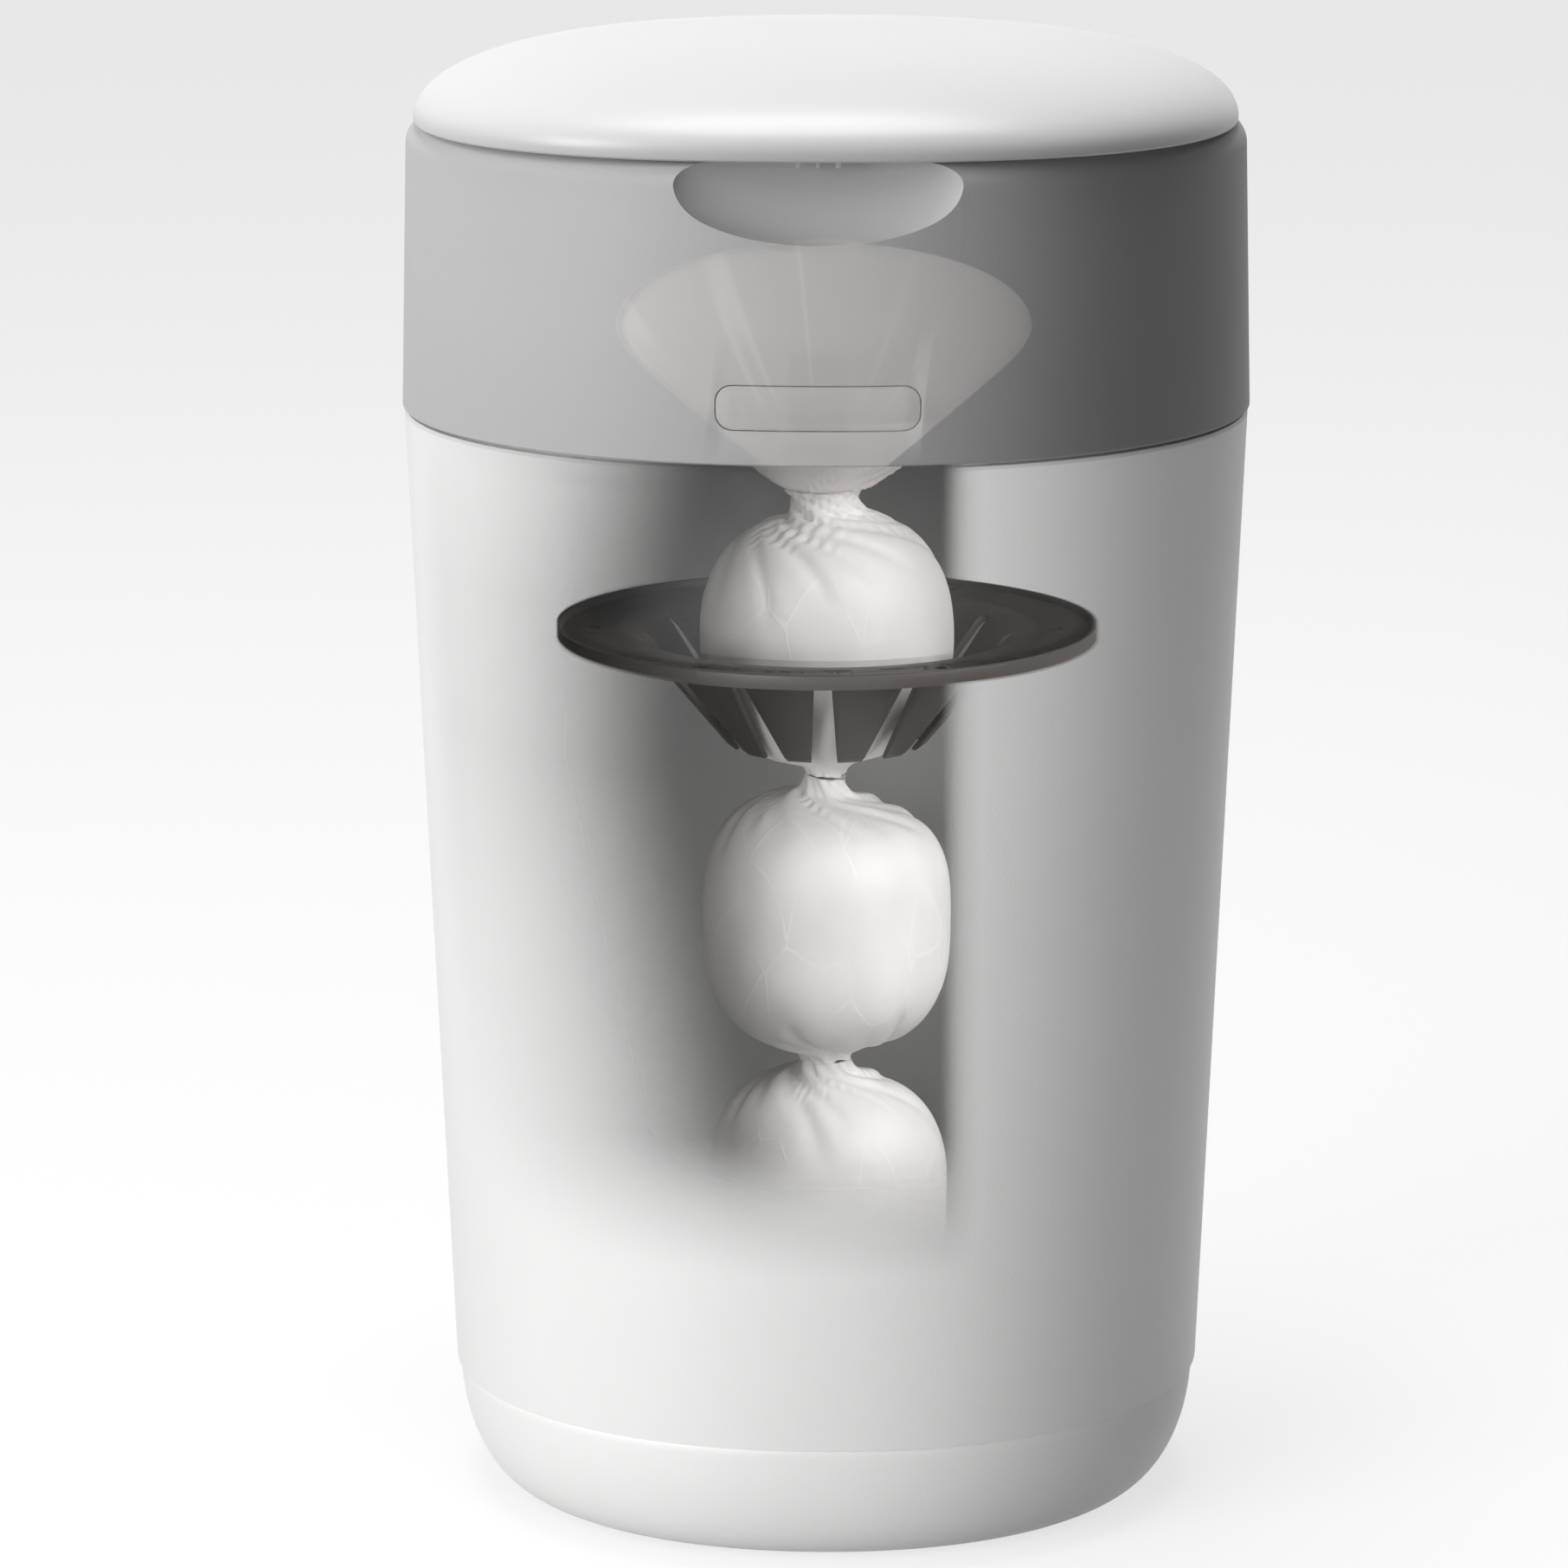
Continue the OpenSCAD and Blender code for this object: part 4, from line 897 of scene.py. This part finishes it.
# %% Drop sleeve
sleeve_low, sleeve_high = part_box("drop_sleeve")
SLEEVE = [(100.5, 0), (92.5, 0), (92.5, 52), (86.5, 66), (86.5, 72), (75.6, 86), (75.6, 142.5), (63, 142.5),
          (63, 145), (77.6, 145), (77.6, 85), (88.5, 71), (88.5, 65.5), (94.5, 51.5), (94.5, 3), (100.5, 3)]
sleeve = spin_profile([(r * MM, sleeve_high.z - down * MM) for r, down in SLEEVE])
piece("clear_sleeve", sleeve, "head", clear_sleeve, ["drop_sleeve"])

# %% [markdown]
# ## Wrapped bundles
#
# Each bundle is a nappy in a length of film that was twisted shut above and below it. The film is
# smooth round the filling, and near a twist it is gathered into folds that sweep down over the
# shoulder in a spiral. So the wrap starts as a spun barrel with a neck at each end. Each fold is a
# valley with one steep and one gentle side, pressed in along a line that winds up at the neck.
# Then a short cloth simulation inflates the wrap, so that the film between the folds bulges.

# %% Shape of a wrap
WRAP_ROUND = 190
BODY_ROWS = 25
NECK_ROWS = 6
FOLD_LENGTH = 56 * MM
FOLD_W = 1.2 * MM


def neck_rows(neck, flare, end, pole):
    """Section of a neck, from its end to the pole of the wrap's body."""
    shares = [i / NECK_ROWS for i in range(NECK_ROWS)]
    return [(neck * (1 + flare * (1 - t) ** 2 + 0.2 * t * t), end + (pole - end) * t) for t in shares]


def wrap_profile(r, low, high, necks, flares, lengths, exponents):
    """Section of a filled wrap, from the end of its lower neck to the end of its upper one."""
    foot, crown = low + lengths[0], high - lengths[1]
    middle, half = (foot + crown) / 2, (crown - foot) / 2
    points = [(0, low)] + neck_rows(necks[0], flares[0], low, foot)
    for i in range(-BODY_ROWS, BODY_ROWS + 1):
        end = int(i > 0)
        turn = math.copysign(abs(i / BODY_ROWS) ** 1.3 * math.pi / 2, i)
        up = math.copysign(abs(math.sin(turn)) ** (2 / exponents[end]), i)
        body, neck = r * math.cos(turn), necks[end] * 1.2
        points.append(((body ** 4 + neck ** 4) ** 0.25, middle + half * up))
    return points + neck_rows(necks[1], flares[1], high, crown)[::-1] + [(0, high)]


def fold_lines(count, seed):
    """Angle, length, depth and width of each fold at one end of a wrap."""
    chance = random.Random(seed)
    return [(2 * math.pi * (i + chance.uniform(-0.35, 0.35)) / count, chance.uniform(0.45, 1.0),
             chance.uniform(0.5, 1.0), chance.uniform(0.7, 1.5)) for i in range(count)]


def press_folds(bm, ends, lengths, twists, depth, tilt, seeds):
    """Presses spiral folds into the shoulders and wide dents into the side, and tilts the crown."""
    bm.normal_update()
    folds = [fold_lines(11, seed) for seed in seeds]
    middle = (ends[0][1] + ends[1][1]) / 2
    moves = []
    for v in bm.verts:
        out = math.hypot(v.co.x, v.co.y)
        end = int(v.co.z > middle)
        neck, pole = ends[end]
        along = (pole - v.co.z if end else v.co.z - pole) + max(out - neck, 0)
        winding = twists[end] * (math.exp(-along / (14 * MM)) - math.exp(lengths[end] / (14 * MM)))
        angle = math.atan2(v.co.y, v.co.x) + (winding if end else -winding)
        push = 0
        for start, length, deep, width in folds[end]:
            share = min(1 - along / (length * FOLD_LENGTH), 1)
            if share > 0:
                across = math.remainder(angle - start, 2 * math.pi) * out / (width * FOLD_W)
                across *= 1 / (1 + 2 * along / FOLD_LENGTH) if across > 0 else 0.4
                push += deep * share ** 0.5 * math.exp(-across * across)
        dents = noise.noise(v.co * 26 + Vector((seeds[0], 0, 0)))
        fullness = min(out / (20 * MM), 1)
        rise = max(v.co.z - middle, 0) / (ends[1][1] - middle)
        moves.append(v.normal * (-depth * min(push, 1.4) * (0.4 + 0.6 * fullness)
                                 + 1.3 * MM * dents * fullness)
                     + Vector((0, 0, -tilt * v.co.x * rise ** 2)))
    for v, move in zip(bm.verts, moves):
        v.co += move


print("wrap helpers ready")

# %% [markdown]
# The cloth runs for a few frames with air pressure from inside and no gravity. How far a point
# may move is capped, so that the wrap stays in its place between the fingers of the ring.

# %% Inflate a wrap
SIM_SCALE = 12
PRESSURE = 20.0
CLOTH_MASS = 0.02
CLOTH_FRAMES = 14
MOVE_CAP = 0.35 * MM


def inflate(obj):
    """Swells a mesh as cloth with its necks pinned, and applies the result with a cap."""
    mesh = obj.data
    before = [v.co.copy() for v in mesh.vertices]
    mesh.transform(Matrix.Scale(SIM_SCALE, 4))
    pins = obj.vertex_groups.new(name="necks")
    for v in mesh.vertices:
        out = math.hypot(v.co.x, v.co.y) / SIM_SCALE
        pins.add([v.index], min(max(2.4 - out / (9 * MM), 0), 1), "REPLACE")
    cloth = obj.modifiers.new("cloth", "CLOTH")
    settings = cloth.settings
    settings.quality = 6
    settings.mass = CLOTH_MASS
    settings.air_damping = 0
    settings.tension_stiffness = 12
    settings.compression_stiffness = 12
    settings.shear_stiffness = 4
    settings.bending_stiffness = 0.02
    settings.use_pressure = True
    settings.uniform_pressure_force = PRESSURE
    settings.vertex_group_mass = "necks"
    settings.effector_weights.gravity = 0
    scene = bpy.context.scene
    for frame_number in range(1, CLOTH_FRAMES + 1):
        scene.frame_set(frame_number)
    swollen = obj.evaluated_get(bpy.context.evaluated_depsgraph_get()).to_mesh()
    after = [v.co / SIM_SCALE for v in swollen.vertices]
    obj.evaluated_get(bpy.context.evaluated_depsgraph_get()).to_mesh_clear()
    obj.modifiers.remove(cloth)
    obj.vertex_groups.clear()
    scene.frame_set(1)
    most = 0
    for v, a, b in zip(mesh.vertices, before, after):
        move = b - a
        most = max(most, move.length)
        if move.length > MOVE_CAP:
            move *= MOVE_CAP / move.length
        v.co = a + move
    mesh.update()
    return most


print("cloth helper ready")

# %% [markdown]
# The upper bundle sits in the ring, with its foot drawn in by the fingers. The middle one hangs
# below it, and the lowest one stands on the knot in the end of the film.

# %% Make the three wraps
WRAPS = [
    # name, node, body, radius, neck radii, flares, neck lengths, exponents, twists, depth, tilt, seeds
    ("wrap_upper", "bundle_upper", "head", 38.2, (7, 10), (0.05, 0.36), (2.2, 6.5), (2.2, 3),
     (0.8, 2.6), 3.2, -0.04, (5, 2)),
    ("wrap_middle", "bundle_middle", "tub", 37.8, (8.3, 7), (0.05, 0.05), (2.7, 4.5), (3, 3.3),
     (1.0, 1.7), 3.0, 0.08, (9, 5)),
    ("wrap_lower", "bundle_lower", "tub", 36.8, (8, 8.3), (0.05, 0.05), (2, 3), (3.2, 3.1),
     (0.6, 1.5), 2.8, 0.06, (14, 9)),
]
OVERLAP = 0.6 * MM
for name, node, body, r, necks, flares, lengths, exponents, twists, depth, tilt, seeds in WRAPS:
    low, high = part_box(node)
    low, high = low.z - OVERLAP, high.z + OVERLAP
    necks, lengths = [n * MM for n in necks], [n * MM for n in lengths]
    wrap = spin_profile(wrap_profile((r - 0.8) * MM, low, high, necks, flares, lengths, exponents),
                        closed=False, steps=WRAP_ROUND)
    ends = ((necks[0] * 1.2, low + lengths[0]), (necks[1] * 1.2, high - lengths[1]))
    press_folds(wrap, ends, lengths, twists, depth * MM, tilt, seeds)
    wrap_piece = piece(name, wrap, body, wrap_film, [node], smooth_angle=None)
    print("swell:", name, round(inflate(wrap_piece) / MM, 2), "mm at most")
    smooth = wrap_piece.modifiers.new("smooth", "SUBSURF")
    smooth.levels = smooth.render_levels = 1

# %% [markdown]
# The end of the film is tied in a knot, and its tail spreads a little where it meets the floor.

# %% Knot
knot_low, knot_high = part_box("film_knot")


def knot_profile():
    rise = knot_high.z - knot_low.z
    shape = [(0, 0), (0.9, 0.0), (1.0, 0.10), (0.86, 0.30), (0.80, 0.42), (0.92, 0.55), (0.90, 0.72),
             (0.74, 0.90), (0.70, 1.0), (0, 1.0)]
    return [(knot_high.x * r, knot_low.z + rise * z) for r, z in shape]


knot = spin_profile(knot_profile(), closed=False, steps=96)
bmesh.ops.subdivide_edges(knot, edges=[e for e in knot.edges if abs(e.verts[0].co.z - e.verts[1].co.z) > 0.4 * MM],
                          cuts=2, use_grid_fill=True)
for v in knot.verts:
    share = (v.co.z - knot_low.z) / (knot_high.z - knot_low.z)
    angle = math.atan2(v.co.y, v.co.x) + 2.2 * share
    pleat = 0.92 + 0.08 * abs(math.sin(4.5 * angle))
    v.co.x *= pleat
    v.co.y *= pleat
knot_piece = piece("wrap_knot", knot, "tub", wrap_film, ["film_knot"], smooth_angle=None)

# %% [markdown]
# ## Film funnel
#
# Inside the head the film hangs down from the cassette as a tube, and then it is drawn together
# to the neck of the upper bundle. It is one sheet, so it stays a single spun surface. Its pleats
# start where it leaves the straight throat, get deeper, and wind round the neck.

# %% Funnel
funnel_low, funnel_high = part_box("film_funnel")
FUNNEL_R = 63.3 * MM
FUNNEL_NECK_R = 14 * MM
FUNNEL_BEND_Z = funnel_low.z + 46 * MM
FUNNEL_ROWS = 40
THROAT_ROWS = 8


def funnel_profile():
    neck_z = funnel_low.z
    drop = FUNNEL_BEND_Z - neck_z
    shares = [i / FUNNEL_ROWS for i in range(FUNNEL_ROWS + 1)]
    throat = [(FUNNEL_R, funnel_high.z - 0.5 * MM + (FUNNEL_BEND_Z - funnel_high.z) * i / THROAT_ROWS)
              for i in range(THROAT_ROWS)]
    return throat + [(FUNNEL_NECK_R + (FUNNEL_R - FUNNEL_NECK_R) * (1 - t ** 1.4),
                      FUNNEL_BEND_Z - drop * t) for t in shares]


funnel = spin_profile(funnel_profile(), closed=False, steps=240)
funnel.normal_update()
pleat_moves = []
for v in funnel.verts:
    out = math.hypot(v.co.x, v.co.y)
    near = 1 - min(max((out - FUNNEL_NECK_R) / (FUNNEL_R - FUNNEL_NECK_R), 0), 1)
    angle = math.atan2(v.co.y, v.co.x) + 1.6 * near ** 3
    around = Vector((math.cos(angle), math.sin(angle), 0))
    wide = abs(noise.noise(around * 4.2 + Vector((0, 0, 5))))
    fine = abs(noise.noise(around * 9.0 + Vector((0, 0, 8))))
    deep = min(near * 3, 1) * min(0.3 + out / (25 * MM), 1)
    inward = Vector((-v.co.x, -v.co.y, 0)).normalized()
    pleat_moves.append(inward * (3.2 * wide + 1.4 * fine) * MM * (0.12 + deep))
for v, move in zip(funnel.verts, pleat_moves):
    v.co += move
funnel_piece = piece("film_tube", funnel, "twist", funnel_film, ["film_funnel"], smooth_angle=None)
skin = funnel_piece.modifiers.new("film thickness", "SOLIDIFY")
skin.thickness = 0.2 * MM
skin.offset = -1
film_path = funnel_profile()

# %% [markdown]
# The rest of the film is packed in the cassette, as a tube that was pushed together into a stack
# of small folds. The stack is a spun ring with one ridge per fold, and each fold wanders a bit.

# %% Film pack
pack_low, pack_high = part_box("film_pack")
PACK_IN = 65.8 * MM
PACK_FOLDS = 22


def pack_profile():
    outer, inner = pack_high.x - 0.2 * MM, PACK_IN
    rise = (pack_high.z - pack_low.z) / PACK_FOLDS
    outside, inside = [], []
    for i in range(PACK_FOLDS):
        z = pack_low.z + rise * i
        outside += [(outer - 1.1 * MM, z), (outer, z + rise * 0.5)]
        inside += [(inner + 1.1 * MM, z), (inner, z + rise * 0.5)]
    outside.append((outer - 1.1 * MM, pack_high.z))
    inside.append((inner + 1.1 * MM, pack_high.z))
    return outside + inside[::-1]


pack = spin_profile(pack_profile())
for v in pack.verts:
    out = math.hypot(v.co.x, v.co.y)
    outside = out > (PACK_IN + pack_high.x) / 2
    waver = noise.noise(Vector((v.co.x * 60, v.co.y * 60, v.co.z * 160)))
    pull = 1 - (0.6 + 0.6 * waver) * MM / out if outside else 1 + (0.6 + 0.6 * waver) * MM / out
    v.co.x *= pull
    v.co.y *= pull
pack_piece = piece("packed_film", pack, "twist", funnel_film, ["film_pack"], smooth_angle=None)

# %% [markdown]
# ## Catch spring
#
# A small wire spring pushes the catch plate out. A spin that also moves along its axis turns a
# small circle into a coil, and the coil is then laid along Y.

# %% Spring
spring_low, spring_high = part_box("catch_spring")
WIRE_R = 0.4 * MM
TURNS = 5
spring_len = spring_high.y - spring_low.y
coil_r = (spring_high.x - spring_low.x) / 2 - WIRE_R
spring = bmesh.new()
ring_made = bmesh.ops.create_circle(spring, cap_ends=True, segments=10, radius=WIRE_R)
bmesh.ops.rotate(spring, verts=ring_made["verts"], cent=(0, 0, 0), matrix=Matrix.Rotation(math.pi / 2, 3, "X"))
bmesh.ops.translate(spring, verts=ring_made["verts"], vec=(coil_r, 0, WIRE_R))
coil_steps = TURNS * 24
pitch = (spring_len - 2 * WIRE_R) / coil_steps
bmesh.ops.spin(spring, geom=spring.faces[:] + spring.edges[:] + spring.verts[:], cent=(0, 0, 0),
               axis=(0, 0, 1), dvec=(0, 0, pitch), angle=2 * math.pi * TURNS, steps=coil_steps,
               use_merge=False, use_duplicate=False)
bmesh.ops.recalc_face_normals(spring, faces=spring.faces[:])
bmesh.ops.rotate(spring, verts=spring.verts[:], cent=(0, 0, 0), matrix=Matrix.Rotation(-math.pi / 2, 3, "X"))
bmesh.ops.translate(spring, verts=spring.verts[:],
                    vec=(0, spring_low.y, (spring_low.z + spring_high.z) / 2))
piece("catch_coil", spring, "head", spring_steel, ["catch_spring"])

# %% [markdown]
# ## Lamps for some of the pieces
#
# The picture is put together from parts that were lit one by one. Light linking does the same:
# a lamp can have a collection of the pieces that it lights or leaves out. The head gets more
# light from the left and above, and none from the front. A low card brightens the tub's foot on
# the right. What the x-ray view shows is lit from the right, and only its own pieces shade it.

# %% Linked lamps
HEAD_POWER = 28
HEAD_AT = (-1.8, -1.04, 1.55)
CARD_POWER = 0.5
CARD_AT = (0.6, -0.45, 0.05)
INNER_POWER = 44
INNER_AT = (1.5, -1.25, 1.3)
INSIDE = ("wrap_upper", "wrap_middle", "wrap_lower", "wrap_knot", "film_tube", "gripper")


def link_light(light, names, state="INCLUDE"):
    """Lets a lamp light only some pieces, or leaves them out. Returns their collection."""
    group = bpy.data.collections.new(light.name + " pieces")
    for name in names:
        group.objects.link(bpy.data.objects[name])
    for member in group.collection_objects:
        member.light_linking.link_state = state
    light.light_linking.receiver_collection = group
    return group


link_light(key_lamp, (*INSIDE, "lid_dome"), "EXCLUDE")
link_light(front_lamp, ("collar", "catch_plate", "lid_dome"), "EXCLUDE")
link_light(lamp("head lamp", HEAD_POWER, HEAD_AT, (0, 0, 0.35), 1.0), ("collar", "catch_plate", "lid_dome"))
link_light(lamp("card", CARD_POWER, CARD_AT, (0, 0, 0.1), 0.4), ("tub_wall", "base_bowl"))
inner_lamp = lamp("inner lamp", INNER_POWER, INNER_AT, (0, 0, 0.2), 1.5)
inner_lamp.light_linking.blocker_collection = link_light(inner_lamp, INSIDE)
print("linked lamps:", len(INSIDE), "pieces inside")

# %% [markdown]
# ## Carried pieces
#
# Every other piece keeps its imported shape, and only gets its finish.

# %% Finishes for the carried pieces
CARRIED = {
    "head_deck": pale_deck, "twist_ring": pale_deck, "cutter_housing": pale_deck,
    "catch_hook": hook_plastic,
    "refill_cassette": white_refill, "cassette_cap": white_refill, "lid_liner": white_lid,
    "click_pawl": dark_ring, "lid_seal": dark_rubber, "foot_pads": dark_rubber,
    "head_hinge_pin": steel, "lid_hinge_pin": steel, "pawl_pin": steel, "base_screws": steel,
    "gripper_screws": ring_steel, "cutter_blade": steel,
}
for name, material in CARRIED.items():
    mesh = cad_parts[name].data
    mesh.materials.clear()
    mesh.materials.append(material)
print("carried:", len(CARRIED), "pieces")
